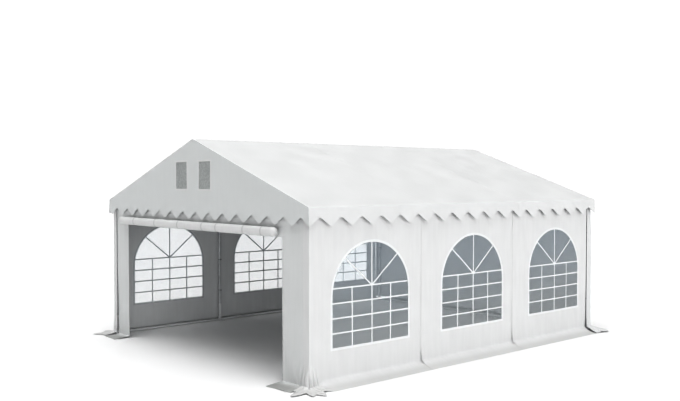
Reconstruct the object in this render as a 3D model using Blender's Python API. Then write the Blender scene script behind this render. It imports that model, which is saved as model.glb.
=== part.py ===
"""A 5 x 6 m marquee tent: a frame of steel tubes under a roof, gables and walls of coated fabric.

Run it with blender --background --python part.py, or from Blender's text editor.
Metres, +Z up. The origin is on the ground under the middle of the tent, and the open front faces -Y.
"""

import math

import bmesh
import bpy
from mathutils import Vector

# Driving dimensions of the whole tent
BAY = 2.0  # from one frame to the next, along Y
BAYS = 3
HALF_WIDTH = 2.4847  # from the middle to a post's axis
EAVE_TOP = 2.19  # outer corner of the roof cover
RIDGE_TOP = 3.09
OVERHANG = 0.048  # how far the roof cover stands out past the walls

# Steel frame
TUBE_R = 0.025
THIN_TUBE_R = 0.019  # ground rails and gable bars
SLEEVE_R = 0.028
SLEEVE_LONG = 0.11
FOOT_HIGH = 0.31
FOOT_PLATE = 0.12
FOOT_PLATE_THICK = 0.006
GABLE_BAR_Z = 2.115
SIDES = 16

# Fabric
FABRIC = 0.004
FILM = 0.002
SEAT = 0.0003  # gap between pieces that rest on each other
WALL_TOP = 2.195
GABLE_WALL_TOP = 2.14
SKIRT_OUT = 0.22  # how far the wall's foot lies out on the ground
SKIRT_RISE = 0.13  # height where the wall starts to curve outwards
SKIRT_STEPS = 6
PANEL_SEAM = SEAT / 2
SEAM_FORWARD = 0.09  # the panels' seams lie this far in front of the posts
CORNER_RETURN = 0.107  # width of the flap that wraps round a corner
CORNER_SLOT = 0.015  # open slot beside that flap
DOORWAY_HALF = 2.0
DOORWAY_HIGH = 1.81

# Arched windows in the long walls
WINDOW_HALF = 0.667
WINDOW_SILL = 0.448
WINDOW_ARC_Z = 1.074  # centre of the round head
WINDOW_ARC_STEPS = 20
FILM_LAP = 0.02

# Vents in the gables
VENT_INNER = 0.16
VENT_OUTER = 0.447
VENT_LOW = 2.39
VENT_HIGH = 2.77
VENT_LAP = 0.015

# Wavy lower edge of the roof cover and gables
NOTCH_Z = 2.064
TIP_Z = 1.962
SIDE_WAVE = 0.3408
GABLE_WAVE = 0.3365
GABLE_WAVE_SHIFT = 0.062
WAVE_STEPS = 8

# Rolled-up front door
ROLL_R = 0.07
ROLL_END_R = 0.042
ROLL_LEFT = -2.14
ROLL_RIGHT = 2.0
ROLL_Z = 1.879
ROLL_ROUNDING = 0.03

# Sizes that follow from those
WALL_IN_X = HALF_WIDTH + SLEEVE_R + SEAT
WALL_OUT_X = WALL_IN_X + FABRIC
END_Y = BAY * BAYS / 2
WALL_IN_Y = END_Y + SLEEVE_R + SEAT
WALL_OUT_Y = WALL_IN_Y + FABRIC
ROOF_OUT_X = WALL_OUT_X + OVERHANG
ROOF_OUT_Y = WALL_OUT_Y + OVERHANG
SLOPE = (RIDGE_TOP - EAVE_TOP) / ROOF_OUT_X
PITCH = math.atan(SLOPE)
AXIS_DROP = (FABRIC + SEAT + SLEEVE_R) / math.cos(PITCH)
RIDGE_AXIS_Z = RIDGE_TOP - AXIS_DROP
EAVE_AXIS_Z = RIDGE_AXIS_Z - SLOPE * HALF_WIDTH
FRAME_YS = [-END_Y + BAY * i for i in range(BAYS + 1)]
SEAM_YS = [y - SEAM_FORWARD for y in FRAME_YS[1:-1]]


def clear_scene():
    for obj in list(bpy.data.objects):
        bpy.data.objects.remove(obj)


def make_material(name, colour, roughness, metallic=0.0, alpha=1.0):
    material = bpy.data.materials.new(name)
    material.use_nodes = True
    shader = material.node_tree.nodes["Principled BSDF"]
    shader.inputs["Base Color"].default_value = (*colour, 1.0)
    shader.inputs["Roughness"].default_value = roughness
    shader.inputs["Metallic"].default_value = metallic
    shader.inputs["Alpha"].default_value = alpha
    return material


def make_object(name, bm, material):
    """Puts a bmesh into the scene as one object, with its faces pointing out."""
    bmesh.ops.recalc_face_normals(bm, faces=bm.faces)
    mesh = bpy.data.meshes.new(name)
    bm.to_mesh(mesh)
    bm.free()
    mesh.materials.append(material)
    obj = bpy.data.objects.new(name, mesh)
    bpy.context.scene.collection.objects.link(obj)
    return obj


def loft(name, rings, material):
    """A closed solid from rings of equal length: side faces between rings, and a cap on each end."""
    bm = bmesh.new()
    rows = [[bm.verts.new(p) for p in ring] for ring in rings]
    for low, high in zip(rows, rows[1:]):
        for i in range(len(low)):
            j = (i + 1) % len(low)
            bm.faces.new((low[i], low[j], high[j], high[i]))
    bm.faces.new(rows[0])
    bm.faces.new(rows[-1])
    return make_object(name, bm, material)


def plate(name, outline, place, near, far, material):
    """A flat sheet: the outline, put in space by place(u, v, depth), from depth near to depth far."""
    return loft(name, [[place(u, v, depth) for u, v in outline] for depth in (near, far)], material)


def turned_bar(name, start, end, profile, material):
    """A round bar from start towards end. The profile is a list of (distance from start, radius)."""
    start, end = Vector(start), Vector(end)
    along = (end - start).normalized()
    turn = Vector((0, 0, 1)).rotation_difference(along).to_matrix()
    angles = [2 * math.pi * i / SIDES for i in range(SIDES)]
    rings = []
    for distance, radius in profile:
        middle = start + along * distance
        ring = [Vector((radius * math.cos(a), radius * math.sin(a), 0)) for a in angles]
        rings.append([middle + turn @ point for point in ring])
    obj = loft(name, rings, material)
    obj.data.shade_smooth()
    obj.data.set_sharp_from_angle(angle=math.radians(40))
    return obj


def tube(name, start, end, radius, material):
    """A plain round bar between two points."""
    length = (Vector(end) - Vector(start)).length
    return turned_bar(name, start, end, [(0, radius), (length, radius)], material)


def sleeved_tube(name, start, end, sleeves, steel):
    """A frame tube with wider sleeves, given as a list of (from, to) distances along it."""
    length = (Vector(end) - Vector(start)).length
    profile = []
    for low, high in sleeves:
        if low > 0:
            profile += [(low, TUBE_R), (low, SLEEVE_R)]
        else:
            profile.append((0, SLEEVE_R))
        if high < length:
            profile += [(high, SLEEVE_R), (high, TUBE_R)]
        else:
            profile.append((length, SLEEVE_R))
    return turned_bar(name, start, end, profile, steel)


def hide_helper(obj):
    obj.hide_render = True
    obj.display_type = "WIRE"


def combine(obj, other, operation):
    """Adds or cuts another shape, which stays behind as a hidden helper."""
    hide_helper(other)
    modifier = obj.modifiers.new(f"{operation.lower()} {other.name}", "BOOLEAN")
    modifier.operation = operation
    modifier.object = other
    modifier.solver = "EXACT"


# Steel frame

def purlin(name, x, z, steel):
    """A long tube over all four frames, with a sleeve where each frame joins it."""
    start = -END_Y - SLEEVE_R
    sleeves = [(max(y - SLEEVE_LONG - start, 0), y + SLEEVE_LONG - start) for y in FRAME_YS]
    return sleeved_tube(name, (x, start, z), (x, -start, z), sleeves, steel)


def rafters(steel):
    """Two tubes for each frame, from the ridge purlin's sleeves down to the eave purlins' sleeves."""
    trim = SLEEVE_R + SEAT
    length = HALF_WIDTH / math.cos(PITCH) - 2 * trim
    sleeves = [(0, SLEEVE_LONG), (length - SLEEVE_LONG, length)]
    for side, word in ((-1, "left"), (1, "right")):
        down_slope = Vector((side * math.cos(PITCH), 0, -math.sin(PITCH)))
        for i, y in enumerate(FRAME_YS):
            high = Vector((0, y, RIDGE_AXIS_Z)) + down_slope * trim
            sleeved_tube(f"rafter_{word}_{i + 1}", high, high + down_slope * length, sleeves, steel)


def foot_plate(name, side, y, steel):
    """A square plate, set inwards so that it clears the wall fabric."""
    outer = side * (HALF_WIDTH + SLEEVE_R)
    inner = outer - side * FOOT_PLATE
    half = min(FOOT_PLATE / 2, WALL_IN_Y - SEAT - abs(y))
    low_y, high_y = (y - half, y + FOOT_PLATE - half) if y < 0 else (y - FOOT_PLATE + half, y + half)
    outline = [(inner, low_y), (outer, low_y), (outer, high_y), (inner, high_y)]
    return plate(name, outline, lambda u, v, depth: (u, v, depth), 0, FOOT_PLATE_THICK, steel)


def posts(steel):
    """Uprights with a foot sleeve on a plate, and a head sleeve under the eave purlin."""
    foot = FOOT_PLATE_THICK / 2
    head = EAVE_AXIS_Z - SLEEVE_R - SEAT
    sleeves = [(0, FOOT_HIGH - foot), (head - SLEEVE_LONG - foot, head - foot)]
    for side, word in ((-1, "left"), (1, "right")):
        for i, y in enumerate(FRAME_YS):
            x = side * HALF_WIDTH
            name = f"post_{word}_{i + 1}"
            post = sleeved_tube(name, (x, y, foot), (x, y, head), sleeves, steel)
            combine(post, foot_plate(f"{name}_plate", side, y, steel), "UNION")


def rails(steel):
    """Ground rails inside the posts' feet on three sides, and a bar high across each gable."""
    rail_z = FOOT_PLATE_THICK + SEAT + THIN_TUBE_R
    inset = SLEEVE_R + SEAT + THIN_TUBE_R
    rail_x = HALF_WIDTH - inset
    for side, word in ((-1, "left"), (1, "right")):
        ends = [(side * rail_x, y, rail_z) for y in (-END_Y, END_Y)]
        tube(f"ground_rail_{word}", *ends, THIN_TUBE_R, steel)
    back_reach = rail_x - THIN_TUBE_R - SEAT
    ends = [(x, END_Y - inset, rail_z) for x in (-back_reach, back_reach)]
    tube("ground_rail_back", *ends, THIN_TUBE_R, steel)
    bar_reach = HALF_WIDTH - SLEEVE_R - SEAT
    bar_y = WALL_IN_Y - SEAT - THIN_TUBE_R
    for word, sign in (("front", -1), ("back", 1)):
        ends = [(x, sign * bar_y, GABLE_BAR_Z) for x in (-bar_reach, bar_reach)]
        tube(f"gable_bar_{word}", *ends, THIN_TUBE_R, steel)


# Wall fabric

def wall_section(top):
    """Closed outline of a wall panel's cross-section, as (distance out from the wall's face, height)."""
    radius = SKIRT_RISE - FABRIC
    outer = [(0.0, top)]
    inner = [(-FABRIC, top)]
    for step in range(SKIRT_STEPS + 1):
        angle = math.pi / 2 * step / SKIRT_STEPS
        across, down = math.cos(angle), math.sin(angle)
        outer.append((radius - radius * across, SKIRT_RISE - radius * down))
        inner.append((radius - (radius + FABRIC) * across, SKIRT_RISE - (radius + FABRIC) * down))
    outer.append((SKIRT_OUT, FABRIC))
    inner.append((SKIRT_OUT, 0.0))
    return outer + inner[::-1]


def outward_at(path, i):
    """The mitred outward direction at a corner of a path that runs anticlockwise, seen from above."""
    normals = []
    for a, b in ((i - 1, i), (i, i + 1)):
        if 0 <= a and b < len(path):
            run = (Vector(path[b]) - Vector(path[a])).normalized()
            normals.append(Vector((run.y, -run.x)))
    if len(normals) == 1:
        return normals[0]
    return normals[0] + normals[1]


def wall_panel(name, path, top, fabric):
    """Carries the wall's cross-section along a path in plan."""
    section = wall_section(top)
    rings = []
    for i, (x, y) in enumerate(path):
        out = outward_at(path, i)
        rings.append([(x + out.x * d, y + out.y * d, z) for d, z in section])
    return loft(name, rings, fabric)


def window_outline(grow):
    """The arched window as (along the wall from its middle, height), made larger all round by grow."""
    half = WINDOW_HALF + grow
    points = [(-half, WINDOW_SILL - grow), (half, WINDOW_SILL - grow)]
    for step in range(WINDOW_ARC_STEPS + 1):
        angle = math.pi * step / WINDOW_ARC_STEPS
        points.append((half * math.cos(angle), WINDOW_ARC_Z + half * math.sin(angle)))
    return points


def side_walls(fabric, film):
    """Three panels on each long side, the front one wrapped round the front corner, each with a window."""
    back_end = WALL_OUT_Y - CORNER_RETURN + FABRIC - CORNER_SLOT
    return_x = WALL_OUT_X - CORNER_RETURN
    for side, word in ((-1, "left"), (1, "right")):
        x = side * WALL_OUT_X
        runs = [
            [(side * return_x, -WALL_OUT_Y), (x, -WALL_OUT_Y), (x, SEAM_YS[0] - PANEL_SEAM)],
            [(x, SEAM_YS[0] + PANEL_SEAM), (x, SEAM_YS[1] - PANEL_SEAM)],
            [(x, SEAM_YS[1] + PANEL_SEAM), (x, back_end)],
        ]
        for i, run in enumerate(runs):
            path = run if side > 0 else run[::-1]
            panel = wall_panel(f"wall_panel_{word}_{i + 1}", path, WALL_TOP, fabric)
            middle = FRAME_YS[i] + BAY / 2

            def place(u, v, depth, middle=middle, side=side):
                return (side * depth, middle + u, v)

            cutter = plate(
                f"window_cut_{word}_{i + 1}", window_outline(0), place,
                WALL_IN_X - FABRIC, WALL_OUT_X + FABRIC, fabric,
            )
            combine(panel, cutter, "DIFFERENCE")
            plate(
                f"window_{word}_{i + 1}", window_outline(FILM_LAP), place,
                WALL_IN_X - SEAT - FILM, WALL_IN_X - SEAT, film,
            )


def end_walls(fabric):
    """The gable walls, each with a doorway: open at the front, and closed by a door panel at the back."""
    strip_out = WALL_OUT_X - CORNER_RETURN - CORNER_SLOT
    return_y = WALL_OUT_Y - CORNER_RETURN + FABRIC
    front_path = [(-strip_out, -WALL_OUT_Y), (strip_out, -WALL_OUT_Y)]
    front = wall_panel("front_wall", front_path, GABLE_WALL_TOP, fabric)
    back_path = [
        (WALL_OUT_X, return_y), (WALL_OUT_X, WALL_OUT_Y), (-WALL_OUT_X, WALL_OUT_Y), (-WALL_OUT_X, return_y),
    ]
    back = wall_panel("back_wall", back_path, GABLE_WALL_TOP, fabric)
    doorway = [
        (-DOORWAY_HALF, -DOORWAY_HIGH), (DOORWAY_HALF, -DOORWAY_HIGH),
        (DOORWAY_HALF, DOORWAY_HIGH), (-DOORWAY_HALF, DOORWAY_HIGH),
    ]
    for panel, sign in ((front, -1), (back, 1)):
        cutter = plate(
            f"{panel.name}_doorway_cut", doorway, lambda u, v, depth, sign=sign: (u, sign * depth, v),
            WALL_IN_Y - FABRIC, WALL_OUT_Y + 2 * SKIRT_OUT, fabric,
        )
        combine(panel, cutter, "DIFFERENCE")
    door_half = DOORWAY_HALF - SEAT
    door_path = [(door_half, WALL_OUT_Y), (-door_half, WALL_OUT_Y)]
    wall_panel("back_door_panel", door_path, DOORWAY_HIGH - SEAT, fabric)


def rolled_door(fabric):
    """The front door, rolled up and tied under the gable's edge."""
    y = -(WALL_OUT_Y + SEAT + ROLL_R)
    shoulder = ROLL_ROUNDING
    length = ROLL_RIGHT - ROLL_LEFT
    profile = [(0, ROLL_END_R), (shoulder, ROLL_R), (length - shoulder, ROLL_R), (length, ROLL_END_R)]
    turned_bar("rolled_front_door", (ROLL_LEFT, y, ROLL_Z), (ROLL_RIGHT, y, ROLL_Z), profile, fabric)


# Roof fabric

def wave_z(distance, wave):
    """Height of the wavy edge, at a distance from a notch: halfway between a zigzag and a cosine."""
    phase = (distance / wave) % 1.0
    zigzag = 1 - 4 * min(phase, 1 - phase)
    cosine = math.cos(2 * math.pi * phase)
    share = (zigzag + cosine) / 2
    return (NOTCH_Z + TIP_Z) / 2 + share * (NOTCH_Z - TIP_Z) / 2


def wave_line(half, wave, shift):
    """Points of a wavy edge from -half to half, as (position, height)."""
    step = wave / WAVE_STEPS
    first = math.ceil((-half - shift) / step + 0.05)
    last = math.floor((half - shift) / step - 0.05)
    places = [-half] + [shift + step * i for i in range(first, last + 1)] + [half]
    return [(p, wave_z(p - shift, wave)) for p in places]


def roof_cover(fabric):
    """One sheet over both slopes, with a wavy valance down each long side."""
    drop = FABRIC / math.cos(PITCH)
    inner_x = ROOF_OUT_X - FABRIC
    edge = wave_line(ROOF_OUT_Y, SIDE_WAVE, SIDE_WAVE / 2)
    bm = bmesh.new()

    def fold(y):
        outer = [bm.verts.new((x, y, RIDGE_TOP - SLOPE * abs(x))) for x in (-ROOF_OUT_X, 0, ROOF_OUT_X)]
        inner = [bm.verts.new((x, y, RIDGE_TOP - drop - SLOPE * abs(x))) for x in (-inner_x, 0, inner_x)]
        return outer, inner

    front_out, front_in = fold(-ROOF_OUT_Y)
    back_out, back_in = fold(ROOF_OUT_Y)
    for i in (0, 1):
        bm.faces.new((front_out[i], front_out[i + 1], back_out[i + 1], back_out[i]))
        bm.faces.new((front_in[i], front_in[i + 1], back_in[i + 1], back_in[i]))
        for out, inside in ((front_out, front_in), (back_out, back_in)):
            bm.faces.new((out[i], out[i + 1], inside[i + 1], inside[i]))
    for side, corner in ((-1, 0), (1, 2)):
        outer = [bm.verts.new((side * ROOF_OUT_X, y, z)) for y, z in edge]
        inner = [bm.verts.new((side * inner_x, y, z)) for y, z in edge]
        bm.faces.new([front_out[corner]] + outer + [back_out[corner]])
        bm.faces.new([front_in[corner]] + inner + [back_in[corner]])
        for i in range(len(edge) - 1):
            bm.faces.new((outer[i], outer[i + 1], inner[i + 1], inner[i]))
        bm.faces.new((front_out[corner], outer[0], inner[0], front_in[corner]))
        bm.faces.new((back_out[corner], outer[-1], inner[-1], back_in[corner]))
    return make_object("roof_cover", bm, fabric)


def gable_panel(word, sign, fabric, net):
    """The triangle under the roof's end, with a wavy lower edge and two vents, backed by one band of net."""
    half = ROOF_OUT_X - FABRIC - SEAT
    under = RIDGE_TOP - (FABRIC + SEAT) / math.cos(PITCH)
    outline = wave_line(half, GABLE_WAVE, GABLE_WAVE_SHIFT)
    outline += [(half, under - SLOPE * half), (0, under), (-half, under - SLOPE * half)]

    def place(u, v, depth):
        return (u, sign * depth, v)

    def upright(low_u, high_u, low_v, high_v):
        return [(low_u, low_v), (high_u, low_v), (high_u, high_v), (low_u, high_v)]

    panel = plate(f"gable_panel_{word}", outline, place, ROOF_OUT_Y - FABRIC, ROOF_OUT_Y, fabric)
    for side, hand in ((-1, "left"), (1, "right")):
        low_u, high_u = sorted((side * VENT_INNER, side * VENT_OUTER))
        cutter = plate(
            f"vent_cut_{word}_{hand}", upright(low_u, high_u, VENT_LOW, VENT_HIGH), place,
            ROOF_OUT_Y - 2 * FABRIC, ROOF_OUT_Y + FABRIC, fabric,
        )
        combine(panel, cutter, "DIFFERENCE")
    reach = VENT_OUTER + VENT_LAP
    behind = ROOF_OUT_Y - FABRIC - SEAT
    band = upright(-reach, reach, VENT_LOW - VENT_LAP, VENT_HIGH + VENT_LAP)
    plate(f"vent_net_{word}", band, place, behind - FILM, behind, net)


def main():
    clear_scene()
    steel = make_material("galvanised_steel", (0.56, 0.58, 0.60), 0.42, metallic=0.9)
    fabric = make_material("wall_fabric", (0.80, 0.81, 0.81), 0.55)
    roof = make_material("roof_fabric", (0.83, 0.83, 0.83), 0.5)
    film = make_material("window_film", (0.62, 0.67, 0.70), 0.12, alpha=0.35)
    net = make_material("vent_net", (0.25, 0.27, 0.26), 0.8)

    for side, word in ((-1, "left"), (1, "right")):
        purlin(f"eave_purlin_{word}", side * HALF_WIDTH, EAVE_AXIS_Z, steel)
    purlin("ridge_purlin", 0, RIDGE_AXIS_Z, steel)
    rafters(steel)
    posts(steel)
    rails(steel)
    side_walls(fabric, film)
    end_walls(fabric)
    rolled_door(fabric)
    roof_cover(roof)
    gable_panel("front", -1, roof, net)
    gable_panel("back", 1, roof, net)


main()
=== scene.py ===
# %% [markdown]
# # A marquee tent, dressed
# The solid model of this 5 x 6 m marquee tent has the right size and the right parts, but its walls are
# stiff slabs. In this lesson every cloth becomes a thin hanging sheet with folds, seams and zips, the
# windows get their bars, and each surface gets a finish made of nodes. The first cell loads the solid
# model, which is never moved or reshaped.

# %% Load the frame
import math
from collections import namedtuple

import bpy
import numpy as np
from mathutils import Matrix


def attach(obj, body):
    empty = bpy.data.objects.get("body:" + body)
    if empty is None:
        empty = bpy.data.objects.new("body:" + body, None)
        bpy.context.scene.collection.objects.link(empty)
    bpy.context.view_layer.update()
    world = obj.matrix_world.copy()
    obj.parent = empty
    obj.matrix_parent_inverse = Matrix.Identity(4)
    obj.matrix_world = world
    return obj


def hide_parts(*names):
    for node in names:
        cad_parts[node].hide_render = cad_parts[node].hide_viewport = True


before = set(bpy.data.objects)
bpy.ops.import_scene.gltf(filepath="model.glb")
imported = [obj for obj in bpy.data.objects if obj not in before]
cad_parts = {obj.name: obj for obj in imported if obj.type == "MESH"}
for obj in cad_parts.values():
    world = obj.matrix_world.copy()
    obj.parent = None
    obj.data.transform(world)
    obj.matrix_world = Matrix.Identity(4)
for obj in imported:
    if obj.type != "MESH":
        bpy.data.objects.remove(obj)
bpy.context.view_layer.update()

# %% [markdown]
# ## Camera
# The picture shows the tent from beyond its front right corner, from a little above a tall person's head. A
# camera could be placed by eye, but here its place and lens were fitted to the corners of the tent, so it
# stays.

# %% Camera
CAMERA_PLACE = (10.187, -9.335, 2.515)
CAMERA_TURN = (math.radians(90 - 1.401), 0.0, math.radians(48.470))
CAMERA_LENS = 44.32  # mm
CAMERA_SENSOR = 36.0  # mm wide

camera_data = bpy.data.cameras.new("studio_camera")
camera_data.lens = CAMERA_LENS
camera_data.sensor_width = CAMERA_SENSOR
camera_data.clip_end = 300.0
camera = bpy.data.objects.new("studio_camera", camera_data)
camera.location = CAMERA_PLACE
camera.rotation_euler = CAMERA_TURN
bpy.context.scene.collection.objects.link(camera)
bpy.context.scene.camera = camera
print("camera at", CAMERA_PLACE, "with a lens of", CAMERA_LENS, "mm")

# %% [markdown]
# ## Helpers for meshes
# Every piece below is a surface of two parameters. numpy works out all points of a grid at once, and these
# helpers join grids that share an edge, put the result into a mesh, and store the flat cloth's own
# coordinates, in metres, as a UV map. The weave and the streaks of the finishes follow that map, as they do
# on real cloth.

# %% Grids
def ease(x):
    """0 below 0, 1 above 1, and 3 x^2 - 2 x^3 between."""
    x = np.clip(x, 0.0, 1.0)
    return x * x * (3 - 2 * x)


def grid_quads(rows, columns):
    """Four corners for each cell of a grid whose points are numbered row by row."""
    first = (np.arange(rows - 1)[:, None] * columns + np.arange(columns - 1)[None, :]).ravel()
    return np.stack([first, first + 1, first + columns + 1, first + columns], axis=1)


def repeat_quads(quads, size, copies):
    """The quads of one part of the given number of points, repeated for many copies of it."""
    return (quads[None] + size * np.arange(copies)[:, None, None]).reshape(-1, 4)


def stack_parts(parts):
    """Puts many parts, each with its points and quads, into one list of points and one of quads."""
    all_points, all_quads, count = [], [], 0
    for points, quads in parts:
        all_points.append(points)
        all_quads.append(quads + count)
        count += len(points)
    return np.concatenate(all_points), np.concatenate(all_quads)


def join_zones(zones):
    """Joins grids of flat coordinates. Points that agree to a hundredth of a millimetre become one."""
    flat, quads = stack_parts([(zone.reshape(-1, 2), grid_quads(*zone.shape[:2])) for zone in zones])
    first, back = np.unique(np.round(flat, 5), axis=0, return_index=True, return_inverse=True)[1:]
    return flat[first], back.reshape(-1)[quads]


print("a grid of 3 x 4 points has", len(grid_quads(3, 4)), "quads")

# %% Pieces
def make_piece(name, points, quads, finishes, cloth_map, smooth=True):
    """Puts points and quads into a mesh object that rides on the tent, with a UV map for the flat cloth.

    An edge with one face is the sheet's border. It is marked sharp, so that a cut edge isn't shaded round."""
    mesh = bpy.data.meshes.new(name)
    mesh.vertices.add(len(points))
    mesh.vertices.foreach_set("co", np.asarray(points, dtype=np.float32).ravel())
    mesh.loops.add(quads.size)
    mesh.loops.foreach_set("vertex_index", quads.ravel().astype(np.int32))
    mesh.polygons.add(len(quads))
    mesh.polygons.foreach_set("loop_start", np.arange(len(quads), dtype=np.int32) * quads.shape[1])
    mesh.update(calc_edges=True)
    layer = mesh.uv_layers.new(name="cloth")
    layer.data.foreach_set("uv", cloth_map[quads.ravel()].astype(np.float32).ravel())
    mesh.validate()
    mesh.polygons.foreach_set("use_smooth", np.full(len(mesh.polygons), smooth))
    edge_of = np.empty(len(mesh.loops), dtype=np.int32)
    mesh.loops.foreach_get("edge_index", edge_of)
    border = np.bincount(edge_of, minlength=len(mesh.edges)) == 1
    mesh.attributes.new("sharp_edge", "BOOLEAN", "EDGE").data.foreach_set("value", border)
    for finish in finishes:
        mesh.materials.append(finish)
    piece = bpy.data.objects.new(name, mesh)
    bpy.context.scene.collection.objects.link(piece)
    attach(piece, "root")
    return piece


def give_thickness(piece, thick, inner_slot=0):
    """Makes a sheet solid. The modelled side stays the outer one, and the inner side takes its own finish."""
    solid = piece.modifiers.new("thickness", "SOLIDIFY")
    solid.thickness = thick
    solid.offset = -1.0
    solid.material_offset = inner_slot
    solid.material_offset_rim = 0


def cloth_piece(name, points, quads, finish, flat, thick, stands_for=None):
    """A sheet or strip of coated cloth with a grey inner side. It may stand for a node of the solid model."""
    piece = make_piece(name, points, quads, [finish, inner_grey], flat)
    give_thickness(piece, thick, 1)
    if stands_for:
        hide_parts(stands_for)
    return piece


def metres(sizes):
    """Sizes to the centimetre, for printing."""
    return [round(float(size), 2) for size in sizes]


print("sizes are printed as", metres((0.7071, 2.2361)), "m")

# %% [markdown]
# ## Helpers for finishes
# A finish is a tree of shader nodes. Building trees node by node takes many lines, so these helpers add a
# node and connect it in one call: an input given as another node's output is linked, and anything else is
# set as a value.

# %% Nodes
def start_finish(name):
    """A new material with its node tree and its Principled shader."""
    finish = bpy.data.materials.new(name)
    finish.use_nodes = True
    return finish, finish.node_tree, finish.node_tree.nodes["Principled BSDF"]


def join_input(tree, socket, value):
    """Links an output to an input, or sets a plain value on it."""
    if isinstance(value, bpy.types.NodeSocket):
        tree.links.new(value, socket)
    else:
        socket.default_value = value


def add_node(tree, kind, settings=None, **inputs):
    """Adds one node, with its settings and its inputs by name."""
    node = tree.nodes.new(kind)
    for key, value in (settings or {}).items():
        setattr(node, key, value)
    for key, value in inputs.items():
        join_input(tree, node.inputs[key.replace("_", " ")], value)
    return node


def sum_up(tree, operation, *values):
    """A Math node on one to three values."""
    node = tree.nodes.new("ShaderNodeMath")
    node.operation = operation
    for socket, value in zip(node.inputs, values):
        join_input(tree, socket, value)
    return node.outputs[0]


def spread(tree, value, low, high, new_low, new_high):
    """Maps a value's range onto another one, smoothly and without leaving it."""
    settings = {"interpolation_type": "SMOOTHSTEP"}
    inputs = {"Value": value, "From_Min": low, "From_Max": high, "To_Min": new_low, "To_Max": new_high}
    return add_node(tree, "ShaderNodeMapRange", settings, **inputs).outputs[0]


def tint(tree, share, first, second, kind="Color"):
    """Mixes two colours, or two vectors, from the first at 0 to the second at 1."""
    node = tree.nodes.new("ShaderNodeMix")
    node.data_type = "RGBA" if kind == "Color" else "VECTOR"
    for name, value in (("Factor_Float", share), (f"A_{kind}", first), (f"B_{kind}", second)):
        socket = next(s for s in node.inputs if s.identifier == name)
        join_input(tree, socket, (*value, 1.0) if isinstance(value, tuple) else value)
    return next(s for s in node.outputs if s.identifier == f"Result_{kind}")


print("materials before the first finish:", len(bpy.data.materials))

# %% Patterns
WAVE_UNIT = math.pi / 10  # a wave texture of scale 1 repeats after this length


def cloth_place(tree):
    """Coordinates on the flat cloth, in metres."""
    return add_node(tree, "ShaderNodeUVMap", {"uv_map": "cloth"}).outputs[0]


def object_place(tree):
    """Coordinates in space, in metres."""
    return add_node(tree, "ShaderNodeTexCoord").outputs["Object"]


def one_axis(tree, place, axis):
    """One of the three coordinates, counted from 0."""
    return add_node(tree, "ShaderNodeSeparateXYZ", None, Vector=place).outputs[axis]


def stretched(tree, place, scale):
    """The same coordinates, scaled along each axis."""
    return add_node(tree, "ShaderNodeMapping", None, Vector=place, Scale=scale).outputs[0]


def speckle(tree, place, scale, detail=3.0, output=0):
    """A noise pattern's value, or its colour."""
    noise = add_node(tree, "ShaderNodeTexNoise", None, Vector=place, Scale=scale, Detail=detail)
    return noise.outputs[output]


def thread_waves(tree, place, direction, scale):
    """Even waves across one direction, as rows of threads make them."""
    settings = {"bands_direction": direction}
    return add_node(tree, "ShaderNodeTexWave", settings, Vector=place, Scale=scale).outputs[1]


def set_surface(tree, shader, colour, roughness, relief, strength, depth):
    """Connects colour and roughness to the shader, and a relief of the given strength and depth in metres."""
    bump = add_node(tree, "ShaderNodeBump", None, Height=relief, Strength=strength, Distance=depth)
    for name, value in (("Base Color", colour), ("Roughness", roughness), ("Normal", bump.outputs[0])):
        tree.links.new(value, shader.inputs[name])


print("a wave texture of scale 1 repeats after", round(WAVE_UNIT, 3), "m")

# %% [markdown]
# ## Coated cloth
# The tent is made of polyester cloth with a soft plastic coating: white outside and grey inside. Up close
# the coating shows the grid of the threads under it, and at arm's length faint streaks that run down the
# wall, where it was folded and where rain has dried. A photograph of cloth would repeat itself, so the
# pattern is worked out instead: two crossed waves for the threads, a noise that is stretched downwards for
# the streaks, and a wider one for the slow changes. Where the foot of a wall lies on the ground it is
# painted darker, partly dust and partly painted shade, and most on the front strips' flaps by the doorway.

# %% Coated cloth
THREAD_PITCH = 0.005
STREAKS = (15.0, 1.4, 1.0)  # scale of the noise across the cloth and along its height
CREASES = (9.0, 2.5, 1.0)
PATCHES = 2.2


def coated_cloth(name, colour, roughness, streak=0.05, dust_and_shade=0.0, grime_and_shade=0.80):
    """Plastic-coated cloth: thread grid, downward streaks, slow patches, and on the part that lies down dust
    and painted shade, where the colour falls to grime_and_shade times itself."""
    finish, tree, shader = start_finish(name)
    flat = cloth_place(tree)
    warp, weft = (thread_waves(tree, flat, way, WAVE_UNIT / THREAD_PITCH) for way in ("X", "Y"))
    threads = sum_up(tree, "MULTIPLY", warp, weft)
    streaks = speckle(tree, stretched(tree, flat, STREAKS), 1.0, 4.0)
    patches = speckle(tree, flat, PATCHES, 2.0)
    creases = speckle(tree, stretched(tree, flat, CREASES), 1.0, 4.0)
    dark = tuple(c * (1 - 2 * streak) for c in colour)
    light = tuple(min(c * 1.03, 1.0) for c in colour)
    shade = tint(tree, spread(tree, streaks, 0.3, 0.75, 0.0, 1.0), dark, colour)
    shade = tint(tree, spread(tree, patches, 0.35, 0.7, 0.0, 0.45), shade, light)
    shade = tint(tree, sum_up(tree, "MULTIPLY", threads, 0.05), shade, dark)
    # Dust and painted shade: the lying foot is mixed towards a darker, slightly warm colour.
    if dust_and_shade:
        height = sum_up(tree, "MULTIPLY_ADD", creases, 0.03, one_axis(tree, flat, 1))
        dusty_shaded = tuple(c * grime_and_shade * warm for c, warm in zip(colour, (1.0, 0.995, 0.98)))
        shade = tint(tree, spread(tree, height, -0.08, 0.06, dust_and_shade, 0.0), shade, dusty_shaded)
    rough = spread(tree, patches, 0.3, 0.7, roughness - 0.06, roughness + 0.06)
    relief = sum_up(tree, "ADD", sum_up(tree, "MULTIPLY", threads, 0.08), creases)
    set_surface(tree, shader, shade, rough, relief, 0.35, 0.004)
    shader.inputs["Specular IOR Level"].default_value = 0.35
    return finish


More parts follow.
